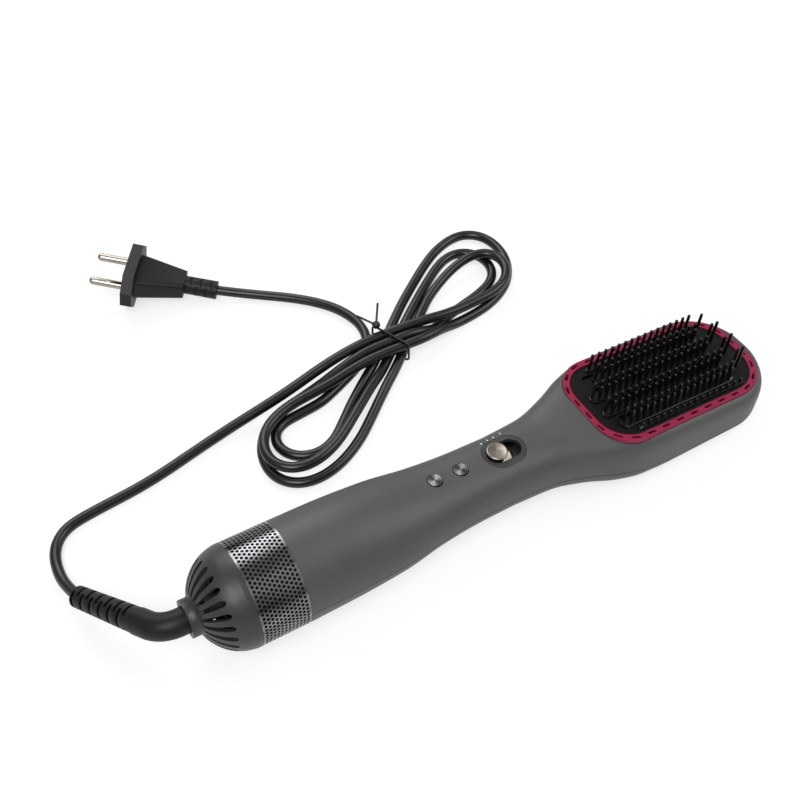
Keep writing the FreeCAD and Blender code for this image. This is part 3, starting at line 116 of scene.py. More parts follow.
def moulded(name, base, tint, grain_mm, depth, low_rough, high_rough, level=0.5):
    """Moulded plastic with a pebble grain, a slow change of colour and a slow change of gloss."""
    material, tree, shader, place = start_material(name, {
        "IOR": 1.5, "Roughness": high_rough, "Specular IOR Level": level})
    slow = add(tree, "ShaderNodeTexNoise", {"Scale": 1 / (HANDLING_MM * MM), "Detail": 3.0},
               {"Vector": place})
    mix = add(tree, "ShaderNodeMix", {"data_type": "RGBA", 6: linear(base), 7: linear(tint)},
              {0: slow.outputs["Fac"]})
    tree.links.new(mix.outputs[2], shader.inputs["Base Color"])
    gloss = add(tree, "ShaderNodeMapRange", {"To Min": low_rough, "To Max": high_rough},
                {"Value": slow.outputs["Fac"]})
    tree.links.new(gloss.outputs["Result"], shader.inputs["Roughness"])
    grain = add(tree, "ShaderNodeTexNoise", {"Scale": 1 / (grain_mm * MM), "Detail": 2.0}, {"Vector": place})
    bump = add(tree, "ShaderNodeBump", {"Strength": GRAIN_STRENGTH, "Distance": depth * MM},
               {"Height": grain.outputs["Fac"]})
    tree.links.new(bump.outputs["Normal"], shader.inputs["Normal"])
    return material


# The case: a neutral dark grey with a soft sheen, so its long curves read by broad shades.
case_abs = moulded("abs_case_pebble_grain", "#383838", "#3f3f3f", 1.1, 0.05, 0.42, 0.54)
# The cap and the bezel: a darker grey from a smoother mould, with clearer lights on the ribs.
cap_abs = moulded("abs_cap_satin", "#262626", "#2c2c2c", 1.0, 0.035, 0.36, 0.46, 0.4)
# The ring: a deep raspberry accent, satin enough to keep its colour under the lamps.
raspberry_abs = moulded("abs_raspberry", "#74112f", "#80163b", 0.9, 0.03, 0.4, 0.5, 0.3)
# The plate between the bristles: near black and matt, so the bristles stand out by their tips alone.
# Its black is partly its own colour and partly painted shade between the bristles.
plate_nylon_and_shade = moulded("nylon_plate_glass_filled", "#070708", "#0b0b0c", 0.8, 0.04, 0.5, 0.62, 0.15)
# The bristles: black and a bit glossy, which gives each rounded tip its glint.
bristle_nylon = moulded("nylon_bristle", "#070708", "#0b0b0c", 0.6, 0.02, 0.24, 0.36, 0.35)
# The plug and the strain relief: soft black rubber-like plastic that shows its edges by grey lights.
plug_pvc = moulded("pvc_plug_moulded", "#0a0a0b", "#0f0f11", 0.9, 0.04, 0.4, 0.52, 0.25)
# The lead's jacket: black with one long satin light along each strand.
jacket_pvc = moulded("pvc_lead_jacket", "#080809", "#0c0c0d", 2.2, 0.02, 0.26, 0.36, 0.4)
# The tie: a thin black line that is duller than the lead.
tie_pvc = moulded("pvc_tie_coating", "#0b0b0b", "#121212", 0.8, 0.02, 0.4, 0.55)
# Mouldings inside: black, partly their own colour and partly painted shade, so that slots and holes look
# deep.
inner_nylon_and_shade = moulded("nylon_inner_mouldings", "#0c0c0c", "#121212", 0.9, 0.03, 0.5, 0.62)
# The board under the slide: black as painted shade, a mask that stays out of sight in the slot.
board_painted_shade = moulded("laminate_circuit_board", "#0a0c0b", "#0f1210", 0.8, 0.02, 0.4, 0.5)
# The inner wires: black sleeves.
wire_pvc = moulded("pvc_inner_wire", "#0c0c0d", "#131314", 0.8, 0.02, 0.4, 0.5)
plastics = [m.name for m in bpy.data.materials if m.name.startswith(("abs", "pvc", "nylon", "laminate"))]
print("plastics", plastics)

# %% [markdown]
# The metals are plated or brushed. A plated part mirrors the room with a slight blur, and a brushed one has
# fine lines that stretch the highlights. Both get a faint noise in their roughness, like the marks that
# fingers leave.

# %% Metals
SMEAR_MM = 3
DENT_DEPTH_MM = 0.02
SMEAR_SPREAD = (0.35, 0.65)


def plated(name, dark, light, low_rough, high_rough, stretch=(1, 1, 1), dent=0.08):
    """Plated or brushed metal, whose tone and gloss vary in fine lines or smears; a wide tone range is
    painted reflection.
    """
    material, tree, shader, place = start_material(name, {"Metallic": 1.0})
    lines = add(tree, "ShaderNodeMapping", {"Scale": stretch}, {"Vector": place})
    smear_and_painted_streak = add(tree, "ShaderNodeTexNoise", {"Scale": 1 / (SMEAR_MM * MM), "Detail": 4.0},
                {"Vector": lines.outputs["Vector"]})
    share = add(tree, "ShaderNodeMapRange", {"From Min": SMEAR_SPREAD[0], "From Max": SMEAR_SPREAD[1]},
                {"Value": smear_and_painted_streak.outputs["Fac"]})
    tone = add(tree, "ShaderNodeMix", {"data_type": "RGBA", 6: linear(dark), 7: linear(light)},
               {0: share.outputs["Result"]})
    tree.links.new(tone.outputs[2], shader.inputs["Base Color"])
    gloss = add(tree, "ShaderNodeMapRange", {"To Min": low_rough, "To Max": high_rough},
                {"Value": smear_and_painted_streak.outputs["Fac"]})
    tree.links.new(gloss.outputs["Result"], shader.inputs["Roughness"])
    bump = add(tree, "ShaderNodeBump", {"Strength": dent, "Distance": DENT_DEPTH_MM * MM},
               {"Height": smear_and_painted_streak.outputs["Fac"]})
    tree.links.new(bump.outputs["Normal"], shader.inputs["Normal"])
    return material


# The screen: dark bright-rolled sheet. Its lighter and darker bands along it are painted reflection streaks.
gunmetal_and_painted_streaks = plated("steel_screen_gunmetal", "#39393b", "#939396", 0.18, 0.32, (0.07, 0.5, 0.5))
# The plug's pins: warm bright nickel with long lights.
nickel = plated("nickel_plug_pins", "#98928a", "#a8a29a", 0.24, 0.32, (0.3, 0.3, 0.3), 0.0)
# The plate under the knob: pale plated metal that shines as a crescent in the dark slot.
chrome = plated("nickel_slide_plate", "#dcd4c8", "#e6ded2", 0.22, 0.34)
# Motor, heater and screws: steel darkened as painted shade, so that it hardly shows through the holes.
steel = plated("steel_motor_and_screws", "#343436", "#434345", 0.3, 0.45, (6, 1, 1))
# The bushes: plain brass, seen only when the case is off.
brass = plated("brass_bushes", "#ab8a49", "#bd9a54", 0.2, 0.35)
print("metals", [m.name for m in (gunmetal_and_painted_streaks, nickel, chrome, steel, brass)])

# %% [markdown]
# Every new piece goes through one function. It makes the mesh an object at the origin, shades it smooth
# except across sharp edges, gives it a finish, and tells the frame which body it rides on and which CAD
# nodes it stands for.

# %% From bmesh to a finished piece
def make_piece(bm, name, material, body, replaced=(), sharp=35):
    """Turn a bmesh into a piece of the object."""
    mesh = bpy.data.meshes.new(name)
    bm.to_mesh(mesh)
    bm.free()
    for polygon in mesh.polygons:
        polygon.use_smooth = True
    mesh.set_sharp_from_angle(angle=math.radians(sharp))
    mesh.materials.append(material)
    piece = bpy.data.objects.new(name, mesh)
    bpy.context.scene.collection.objects.link(piece)
    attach(piece, body)
    if replaced:
        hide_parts(*replaced)
    print(name, "faces", len(mesh.polygons))
    return piece


def bake_modifiers(piece):
    """Make the shape that the modifiers give the piece's own mesh."""
    graph = bpy.context.evaluated_depsgraph_get()
    done = bpy.data.meshes.new_from_object(piece.evaluated_get(graph))
    piece.modifiers.clear()
    piece.data = done
    return piece


def cut_out(piece, bm):
    """Cut a closed bmesh out of a piece."""
    mesh = bpy.data.meshes.new("cutter")
    bm.to_mesh(mesh)
    bm.free()
    cutter = bpy.data.objects.new("cutter", mesh)
    bpy.context.scene.collection.objects.link(cutter)
    boolean = piece.modifiers.new("cut", "BOOLEAN")
    boolean.operation = "DIFFERENCE"
    boolean.solver = "EXACT"
    boolean.object = cutter
    bake_modifiers(piece)
    bpy.data.objects.remove(cutter)
    bpy.data.meshes.remove(mesh)
    return piece


# %% [markdown]
# Many CAD nodes already have the right shape, only their meshes are loose triangles. A welded copy with the
# flat facets merged can be shaded smooth and can take a small bevel, so its edges catch the light as a
# moulded edge does.

# %% Welded copies of CAD nodes
WELD_MM = 0.002
FLAT_DEGREES = 0.4
BEVEL_DEGREES = 40


def welded_copy(node, material, body, bevel_mm=0, sharp=35):
    """A welded copy of a CAD node, with an optional rounded edge, that stands for it."""
    bm = bmesh.new()
    bm.from_mesh(nodes[node].data)
    bmesh.ops.remove_doubles(bm, verts=bm.verts, dist=WELD_MM * MM)
    bmesh.ops.dissolve_limit(bm, angle_limit=math.radians(FLAT_DEGREES), verts=bm.verts, edges=bm.edges)
    piece = make_piece(bm, node + "_dressed", material, body, (node,), sharp)
    if bevel_mm:
        bevel = piece.modifiers.new("edge", "BEVEL")
        bevel.width = bevel_mm * MM
        bevel.segments = 2
        bevel.limit_method = "ANGLE"
        bevel.angle_limit = math.radians(BEVEL_DEGREES)
        bevel.use_clamp_overlap = True
        bake_modifiers(piece)
    return piece


# %% [markdown]
# The camera stands where the photographer stood. Its place and lens were worked out from the straight
# barrel, the plug and the outline of the brush in the photo, so the render lines up with it.

# %% Camera
LENS_MM = 50.25
SENSOR_MM = 36
EYE = (-0.19831, -0.24475, 0.44268)
camera_data = bpy.data.cameras.new("photo_camera")
camera_data.lens = LENS_MM
camera_data.sensor_width = SENSOR_MM
camera_data.clip_start = 0.01
camera = bpy.data.objects.new("photo_camera", camera_data)
bpy.context.scene.collection.objects.link(camera)
right = Vector((0.855097, -0.518468, 0.0))
look = Vector((0.334785, 0.552308, -0.763463))
above = right.cross(look)
camera.matrix_world = Matrix.Translation(EYE) @ Matrix((
    (right.x, above.x, -look.x, 0),
    (right.y, above.y, -look.y, 0),
    (right.z, above.z, -look.z, 0),
    (0, 0, 0, 1),
))
bpy.context.scene.camera = camera
print("camera height", round(camera.location.z, 3))

# %% [markdown]
# The lead is one NURBS curve from the strain relief to the plug. Its first and last control points are the
# route of the CAD tube. The hank between them keeps the three crossed turns of the CAD tube, with its points
# moved to lie as loose as in the photo: each loop has its own size, one lies on top at each end, and
# all of them pass the tie in two layers. A quadratic NURBS touches the middle of each side of its control
# polygon, so the points round a fold stand a little outside the fold.

# %% The lead's route
CORD_DIAMETER = 5.4
RELIEF_END = (-189.0, 45.6, 8.6)
LEAD_ROUTE = (
    (-191.6, 55.4, 5.2),
    (-192.2, 65.6, 3.2),
    (-190.6, 75.5, 2.75),
    (-186.4, 82.9, 2.75),
    (-179.2, 87.8, 2.75),
    (-167.0, 89.6, 2.75),
    (-137.4, 91.6, 2.75),
    (-106.0, 98.6, 2.75),
    (-88.0, 101.6, 3.6),
)
TAIL_ROUTE = (
    (-41.2, 92.6, 3.4),
    (-31.5, 96.6, 2.75),
    (-23.0, 100.2, 2.75),
    (-13.5, 104.4, 2.75),
    (-5.2, 110.2, 2.75),
    (1.0, 118.0, 2.75),
    (3.8, 126.5, 2.75),
    (3.6, 136.0, 2.75),
    (-0.6, 148.0, 2.75),
    (-8.0, 158.5, 2.75),
    (-18.5, 169.0, 2.75),
    (-31.6, 179.4, 2.75),
    (-42.6, 187.2, 3.6),
)
PLUG_AT = (-52.3, 193.4, 5.3)
HANK_ROUTE = (
    # first turn, over the waist and round the upper east loop
    (-71, 102.2, 6.8), (-54, 104.2, 8.4), (-27, 110, 9.6), (-6, 112.4, 10), (15, 111.6, 10),
    (26, 110.6, 10), (35, 109.3, 10), (45, 108.2, 9.3), (54, 108.4, 8.5), (64, 108.8, 8.4),
    (73, 109.2, 8.4), (81.5, 111, 8.4), (89.2, 115.2, 8.4), (94.8, 122.5, 8.4), (96, 131, 8.4),
    (92, 138.2, 8.4), (84.8, 140.8, 8.2), (76.5, 140.4, 7.6), (67, 138.2, 6.4), (57, 134.2, 4.9),
    (46, 128.2, 4.05), (33.5, 117.8, 4.05), (18.1, 105.1, 4.05), (4.4, 93.2, 4.05),
    # outer west loop on the table, then up to the middle of the waist
    (-5, 86.4, 3.2), (-14.4, 79, 2.75), (-24, 71, 2.75), (-34.3, 62.8, 2.75), (-45, 56.4, 2.75),
    (-55.3, 52.4, 2.75), (-65.7, 51.1, 2.75), (-74.6, 53.4, 2.75), (-80.8, 59, 2.75), (-83.6, 66.5, 2.75),
    (-83.2, 75, 2.75), (-80.2, 83, 2.75), (-75.2, 90, 2.75), (-68.2, 95.6, 2.75), (-59, 99.2, 2.75),
    (-48, 101.2, 2.75), (-37, 103, 3.7), (-27, 104.2, 6), (-17, 105.2, 8.6), (-6, 106.2, 10),
    (8, 105.8, 10), (19, 105.1, 10),
    # inner east loop on the table
    (26, 104.9, 8.8), (31.5, 105.4, 6.2), (36.5, 106.6, 3.9), (43, 109.3, 2.75), (51, 112.2, 2.75),
    (60.5, 114.4, 2.75), (71.5, 116.8, 2.75), (81.4, 120.4, 2.75), (88.2, 126, 2.75), (91.4, 133.6, 2.75),
    (90.8, 142, 2.75), (86.4, 148.8, 2.75), (79.6, 151.9, 2.75), (72, 151.2, 2.75), (64.2, 147.6, 2.75),
    (56, 142.2, 2.75), (47, 135.6, 3.3), (33.2, 124.9, 4.05), (15.8, 110.9, 4.05), (0.4, 97.8, 4.05),
    # middle west loop, on top of the others
    (-6, 92.8, 4.7), (-15.2, 86.4, 6.2), (-26.2, 77.8, 7.8), (-37, 69.8, 8.4), (-46, 63.6, 8.4),
    (-54.4, 59.6, 8.4), (-62.4, 57.5, 8.4), (-70, 57.7, 8.4), (-76.4, 60.6, 8.4), (-80.8, 66.2, 8.4),
    (-82, 73.2, 8.4), (-79.8, 81.2, 8.4), (-74.4, 88, 8.4), (-66, 92.8, 8.4), (-55.7, 95.6, 8.4),
    (-43.8, 96.6, 8.5), (-31.5, 97.4, 8.9), (-20, 99.2, 9.7), (-6, 100.4, 10), (10, 99.8, 10),
    (23, 98.8, 9.9),
    # outer east loop on the table
    (31, 99.8, 9.1), (37, 101.3, 7.6), (43.5, 103, 5), (51, 104.2, 3.1), (61, 105.2, 2.75),
    (71.6, 107, 2.75), (81, 110.4, 2.75), (90, 115.8, 2.75), (97, 123.4, 2.75), (101.9, 132.6, 2.75),
    (103.7, 141.6, 2.75), (103.2, 150.2, 2.75), (100.2, 157.4, 2.75), (95, 162, 2.75), (88.4, 164, 2.75),
    (79.6, 162.9, 2.75), (69.2, 159, 2.75), (58, 152.2, 2.75), (48, 145, 2.75), (38.8, 138, 3.3),
    (28, 129.4, 4.05), (12, 115.4, 4.05), (-4.8, 101.1, 4.05),
    # inner west loop on the table
    (-16.4, 93, 3.2), (-28, 84.2, 2.75), (-38, 75.4, 2.75), (-47.2, 67.8, 2.75), (-56.6, 64.8, 2.75),
    (-65.4, 66.8, 2.75), (-71.4, 72.6, 2.75), (-73.2, 80.6, 2.75), (-70, 87.8, 2.75), (-63, 91.4, 2.75),
    (-53, 92, 2.9),
)
route = (RELIEF_END,) + LEAD_ROUTE + HANK_ROUTE + TAIL_ROUTE + (PLUG_AT,)
curve = bpy.data.curves.new("mains_lead", "CURVE")
curve.dimensions = "3D"
curve.bevel_depth = CORD_DIAMETER / 2 * MM
curve.bevel_resolution = 6
curve.resolution_u = 6
curve.use_fill_caps = True
spline = curve.splines.new("NURBS")
spline.points.add(len(route) - 1)
for point, place in zip(spline.points, route):
    point.co = [v * MM for v in place] + [1]
spline.order_u = 3
spline.use_endpoint_u = True
curve.materials.append(jacket_pvc)
lead = bpy.data.objects.new("mains_lead", curve)
bpy.context.scene.collection.objects.link(lead)
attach(lead, "cord_swivel")
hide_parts("cord_lead", "cord_hank", "cord_tail")
print("lead control points", len(route))

# %% [markdown]
# The case is two shells that meet in a seam. Its cross sections are two half ovals, rounder at the barrel
# and squarer at the head, and the same shares as in the CAD source say how they change along the brush.
# Only the seam has its own shares, which lie higher, as in the photo. A grid is wrapped round that form:
# across it the columns go over the outside and back along the inside, so the shell gets a real wall, and
# along it the rows run from the screen to the tip.

# %% The body's form
WALL = 2.2
NECK = 135.0
TIP_CENTRE = 259.8
TIP_RADIUS = 26.0
NECK_HALF_WIDTH = 17.1
NECK_TOP = 16.0
NECK_DEPTH = 15.0
HEAD_HALF_WIDTH = 31.9
HANDLE_SHARES = (
    (0.0, 1.0, 1.0, 1.0, 2.0, 2.0),
    (0.2, 0.99, 0.93, 0.775, 2.0, 2.0),
    (0.42, 0.85, 0.58, 0.42, 2.1, 2.05),
    (0.64, 0.34, 0.19, 0.055, 2.3, 2.1),
    (0.82, 0.08, 0.04, 0.0, 2.5, 2.15),
    (1.0, 0.0, 0.0, 0.0, 2.6, 2.2),
)
HEAD_SHARES = (
    (0.0, 0.0, 0.81, 0.828, 2.6, 2.2),
    (0.16, 0.075, 0.84, 0.84, 2.8, 2.3),
    (0.3, 0.38, 0.945, 0.885, 3.3, 2.6),
    (0.417, 0.76, 1.01, 0.97, 4.2, 3.0),
    (0.52, 0.95, 1.03, 1.03, 5.0, 3.2),
    (0.665, 1.0, 1.03, 1.03, 5.5, 3.4),
    (0.84, 1.0, 1.03, 1.03, 5.5, 3.4),
    (1.0, 1.0, 1.03, 1.03, 5.5, 3.4),
)
TIP_SHARES = (
    (0.0, 1.03, 1.03, 5.5, 3.4),
    (22.0, 1.03, 1.02, 5.5, 3.4),
    (42.0, 1.03, 0.98, 5.5, 3.2),
    (58.0, 1.02, 0.9, 5.0, 3.0),
    (70.0, 1.0, 0.8, 4.5, 2.8),
    (80.0, 0.96, 0.68, 4.0, 2.6),
    (87.0, 0.9, 0.58, 3.6, 2.6),
)
SEAM_SHARES = ((0.0, 0.02), (0.2, 0.03), (0.37, 0.05), (0.6, 0.08), (0.73, 0.15), (0.86, 0.14), (1.0, 0.12))
TIP_TURN = 87
HALVINGS = 30


def blended(table, along):
    """A row of a share table at any place along it, smooth and without overshoot."""
    last = len(table) - 1
    slopes = []
    for i in range(last):
        step = table[i + 1][0] - table[i][0]
        slopes.append([(b - a) / step for a, b in zip(table[i], table[i + 1])])
    i = max(k for k in range(last) if table[k][0] <= along)
    step = table[i + 1][0] - table[i][0]
    t = (along - table[i][0]) / step
    row = []
    for column in range(1, len(table[0])):
        here = slopes[i][column]
        before = slopes[max(i - 1, 0)][column]
        after = slopes[min(i + 1, last - 1)][column]
        start = 2 * before * here / (before + here) if before * here > 0 else 0
        finish = 2 * here * after / (here + after) if here * after > 0 else 0
        low = table[i][column]
        high = table[i + 1][column]
        rise = (3 - 2 * t) * t * t
        row.append(low + (high - low) * rise + step * (t * (1 - t) ** 2 * start - t * t * (1 - t) * finish))
    return row


def deck_at(x):
    """Height of the deck plane over the axis."""
    return DECK_HEIGHT - math.tan(math.radians(DECK_PITCH)) * (x - DECK_MIDDLE)


def rest_at(x):
    """Depth of the table under the axis."""
    return BARREL_RADIUS - math.tan(TILT) * (x - BODY_START)


def seam_at(x):
    """Height of the case's seam, which lies a little under the axis."""
    share = min(max((x - BODY_START) / (TIP_CENTRE + TIP_RADIUS - BODY_START), 0), 1)
    return -blended(SEAM_SHARES, share)[0] * BARREL_RADIUS


def skin_point(along, angle, gap):
    """A point of the skin, drawn in by gap.

    Along is 0 at the screen, 1 where the tip's corner begins and 2 at the tip.
    """
    if along <= 1:
        x = BODY_START + along * (TIP_CENTRE - BODY_START)
        if x <= NECK:
            row = blended(HANDLE_SHARES, (x - BODY_START) / (NECK - BODY_START))
            half_width = NECK_HALF_WIDTH + row[0] * (BARREL_RADIUS - NECK_HALF_WIDTH) - gap
            top = NECK_TOP + row[1] * (BARREL_RADIUS - NECK_TOP) - gap
            back = NECK_DEPTH + row[2] * (BARREL_RADIUS - NECK_DEPTH) - gap
        else:
            row = blended(HEAD_SHARES, (x - NECK) / (TIP_CENTRE - NECK))
            half_width = NECK_HALF_WIDTH + row[0] * (HEAD_HALF_WIDTH - NECK_HALF_WIDTH) - gap
            top = row[1] * deck_at(x) - gap
            back = row[2] * rest_at(x) - gap
    else:
        turn = math.radians(TIP_TURN) * min(along - 1, 1)
        x = TIP_CENTRE + (TIP_RADIUS - gap) * math.sin(turn)
        row = [0] + blended(TIP_SHARES, math.degrees(turn))
        half_width = HEAD_HALF_WIDTH - TIP_RADIUS + (TIP_RADIUS - gap) * math.cos(turn)
        top = row[1] * deck_at(x) - gap
        back = row[2] * rest_at(x) - gap
    side = math.cos(angle)
    rise = math.sin(angle)
    power = row[3] if rise >= 0 else row[4]
    height = top if rise >= 0 else back
    reach = (abs(side) ** power + abs(rise) ** power) ** (-1 / power)
    z = height * rise * reach
    if x > NECK:
        z = max(min(z, deck_at(x) - gap), gap - rest_at(x))
    return Vector((x, half_width * side * reach, z))


def seam_angle(along, gap, offset):
    """The angle at which the skin crosses the seam, found by halving."""
    low = -math.pi / 2
    high = math.pi / 6
    for _ in range(HALVINGS):
        middle = (low + high) / 2
        point = skin_point(along, middle, gap)
        if point.z < seam_at(point.x) + offset:
            low = middle
        else:
            high = middle
    return high


print("neck width", round(2 * skin_point((NECK - BODY_START) / (TIP_CENTRE - BODY_START), 0, 0).y, 1), "mm")

# %% [markdown]
# Each shell is made from one flat grid. Its rows are spread along the brush, closer together round the tip,
# and the last rows close the end. Each shell stops two tenths of a millimetre short of the seam, which
# leaves the fine dark line that shows on the real case.

# %% The two shells of the case
ROWS = [i / 72 for i in range(73)] + [1 + i / 16 for i in range(1, 17)] + [2.25, 2.5, 2.75, 3.0]
COLUMNS = 96
SEAM_GAP = 0.2
FIRST_INSIDE = 0.5000001
LIP_STEP = 0.0001
SHELL_WELD = 0.001


def shell_point(along, share, upper):
    """A point of one shell.

    Share 0 to 0.5 runs over the outside from seam to seam, and 0.5 to 1 back along the inside.
    """
    outside = share <= 0.5
    gap = 0 if outside else WALL
    across = share * 2 if outside else 2 - share * 2
    flat = min(along, 2)
    if upper:
        first = seam_angle(flat, gap, SEAM_GAP)
        angle = first + (math.pi - 2 * first) * across
    else:
        first = seam_angle(flat, gap, -SEAM_GAP)
        angle = first - (math.pi + 2 * first) * across
    point = skin_point(flat, angle, gap)
    if along > 2:
        keep = 3 - along
        seam = seam_at(point.x) + (SEAM_GAP if upper else -SEAM_GAP)
        point.y *= keep
        point.z = seam + (point.z - seam) * keep
    return point


def shell_mesh(upper):
    """One shell as a wrapped grid."""
    bm = bmesh.new()
    bmesh.ops.create_grid(bm, x_segments=len(ROWS) - 1, y_segments=2 * COLUMNS - 1, size=1)
    for vertex in bm.verts:
        row = round((vertex.co.x + 1) / 2 * (len(ROWS) - 1))
        column = round((vertex.co.y + 1) / 2 * (2 * COLUMNS - 1))
        if column < COLUMNS:
            share = column / (COLUMNS - 1) / 2
        else:
            share = max(1 - (2 * COLUMNS - 1 - column) / (COLUMNS - 1) / 2, FIRST_INSIDE)
        vertex.co = shell_point(ROWS[row], share, upper)
    lips = [e for e in bm.edges if e.is_boundary]
    bmesh.ops.bridge_loops(bm, edges=[e for e in lips if abs(e.verts[0].co.x - e.verts[1].co.x) > LIP_STEP])
    bmesh.ops.remove_doubles(bm, verts=bm.verts, dist=SHELL_WELD)
    bmesh.ops.holes_fill(bm, edges=[e for e in bm.edges if e.is_boundary], sides=0)
    bmesh.ops.recalc_face_normals(bm, faces=bm.faces)
    bmesh.ops.transform(bm, matrix=LAY, verts=bm.verts)
    return bm


upper_case = make_piece(shell_mesh(True), "case_upper", case_abs, "brush", ("upper_shell",), 40)
lower_case = make_piece(shell_mesh(False), "case_back", case_abs, "brush", ("back_cover",), 40)

# %% [markdown]
# The openings in the upper shell are cut with closed shapes: a rounded plate for the bristle tray, an oval
# for the slide's bezel and two round bars for the buttons. The plate starts as a rectangle whose corners are
# bevelled as vertices, because the tray's corners are wider at the tip than at the neck. Four round bars cut
# the recesses in the back shell, at whose ends the screws sit.

# %% Openings in the shells
TRAY_HALF_LENGTH = 50.7
TRAY_HALF_WIDTH = 27.6
TRAY_NECK_RADIUS = 19.0
TRAY_TIP_RADIUS = 22.2
TRAY_FIT = 0.2
BEZEL_X = 136.0
BEZEL_HALF_LENGTH = 11.0
BEZEL_HALF_WIDTH = 8.4
BUTTON_XS = (98.2, 112.1)
BUTTON_HOLE = 3.78
SCREWS = ((84.96, 15.6, -6.0), (156.99, 11.4, -7.2))
SCREW_RECESS = 2.5
TRAY_CUT = (-8, 4)
TOP_CUT = (4, 30)
BACK_CUT_LOW = -30
BEZEL_FIT = 0.12
SLACK = 0.001


def tray_plate(inset, low, high):
    """A plate with the tray's outline, in the deck's own frame."""
    bm = bmesh.new()
    bmesh.ops.create_grid(bm, x_segments=1, y_segments=1, size=1)
    for vertex in bm.verts:
        vertex.co.x *= TRAY_HALF_LENGTH - inset
        vertex.co.y *= TRAY_HALF_WIDTH - inset
        vertex.co.z = low
    for radius, side in ((TRAY_NECK_RADIUS, -1), (TRAY_TIP_RADIUS, 1)):
        corners = [v for v in bm.verts if v.co.x * side > TRAY_HALF_LENGTH - inset - SLACK]
        bmesh.ops.bevel(bm, geom=corners, offset=radius - inset, offset_type="OFFSET", affect="VERTICES",
                        segments=14, profile=0.5, material=-1)
    grown = bmesh.ops.extrude_face_region(bm, geom=bm.faces[:])
    lifted = [v for v in grown["geom"] if isinstance(v, bmesh.types.BMVert)]
    bmesh.ops.translate(bm, verts=lifted, vec=(0, 0, high - low))
    bmesh.ops.recalc_face_normals(bm, faces=bm.faces)
    return bm


def upright_bar(x, half_length, half_width, low, high):
    """An upright bar with round ends, long along X, in the tool frame."""
    bm = bmesh.new()
    bmesh.ops.create_circle(bm, cap_ends=True, segments=48, radius=half_width)
    for vertex in bm.verts:
        vertex.co.x += x + (half_length - half_width) * (1 if vertex.co.x > 0 else -1)
        vertex.co.z = low
    grown = bmesh.ops.extrude_face_region(bm, geom=bm.faces[:])
    lifted = [v for v in grown["geom"] if isinstance(v, bmesh.types.BMVert)]
    bmesh.ops.translate(bm, verts=lifted, vec=(0, 0, high - low))
    bmesh.ops.recalc_face_normals(bm, faces=bm.faces)
    return bm


tray_cutter = tray_plate(-TRAY_FIT, *TRAY_CUT)
bmesh.ops.transform(tray_cutter, matrix=DECK, verts=tray_cutter.verts)
cut_out(upper_case, tray_cutter)
bezel_cutter = upright_bar(BEZEL_X, BEZEL_HALF_LENGTH + BEZEL_FIT, BEZEL_HALF_WIDTH + BEZEL_FIT,
                           *TOP_CUT)
bmesh.ops.transform(bezel_cutter, matrix=LAY, verts=bezel_cutter.verts)
cut_out(upper_case, bezel_cutter)
for button_x in BUTTON_XS:
    hole = upright_bar(button_x, BUTTON_HOLE + SLACK, BUTTON_HOLE, *TOP_CUT)
    bmesh.ops.transform(hole, matrix=LAY, verts=hole.verts)
    cut_out(upper_case, hole)
for screw_x, screw_y, seat in SCREWS:
    for side in (1, -1):
        recess = upright_bar(screw_x, SCREW_RECESS + SLACK, SCREW_RECESS, BACK_CUT_LOW, seat)
        bmesh.ops.translate(recess, vec=(0, side * screw_y, 0), verts=recess.verts)
        bmesh.ops.transform(recess, matrix=LAY, verts=recess.verts)
        cut_out(lower_case, recess)
print("upper case faces", len(upper_case.data.polygons), "back faces", len(lower_case.data.polygons))

# %% [markdown]
# The screen round the barrel is a strip of perforated sheet. One tile of it, a hexagon with a round hole, is
# set on the barrel and spun into a ring, and the ring is repeated along the barrel with every second one
# turned by half a tile, so the holes pack like honeycomb. Welding the tiles and giving the sheet its
# thickness makes one piece, and a plain rim is spun at each end.

# %% Perforated screen
HOLES_AROUND = 72
SCREEN_ROWS = 12
HOLE_RADIUS = 0.76
SCREEN_WALL = 0.5
SCREEN_RIM = 0.9
RIM_INSET = 0.1
RIM_PROUD = 0.03
SCREEN_WELD = 0.05
screen_pitch = 2 * math.pi * BARREL_RADIUS / HOLES_AROUND
row_step = (BODY_START - SCREEN_RIM) / (SCREEN_ROWS + 0.5)


def screen_tile(bm, x):
    """One hexagon with a round hole, on the barrel's top at X."""
    inner = bmesh.ops.create_circle(bm, segments=12, radius=HOLE_RADIUS)["verts"]
    outer = bmesh.ops.create_circle(bm, segments=12, radius=screen_pitch / 2)["verts"]
    for vertex in outer:
        angle = math.atan2(vertex.co.y, vertex.co.x)
        share = abs(((math.degrees(angle) + 30) % 60) - 30)
        vertex.co *= 1 / math.cos(math.radians(30)) if share > 15 else 1
    edges = [e for e in bm.edges if e.verts[0] in inner + outer]
    ring = bmesh.ops.bridge_loops(bm, edges=edges)["faces"]
    tile = list({v for f in ring for v in f.verts})
    for vertex in tile:
        around = vertex.co.x / BARREL_RADIUS
        along = vertex.co.y * row_step / (screen_pitch * math.cos(math.radians(30)))
        vertex.co = Vector((x + along, BARREL_RADIUS * math.sin(around), BARREL_RADIUS * math.cos(around)))
    return ring


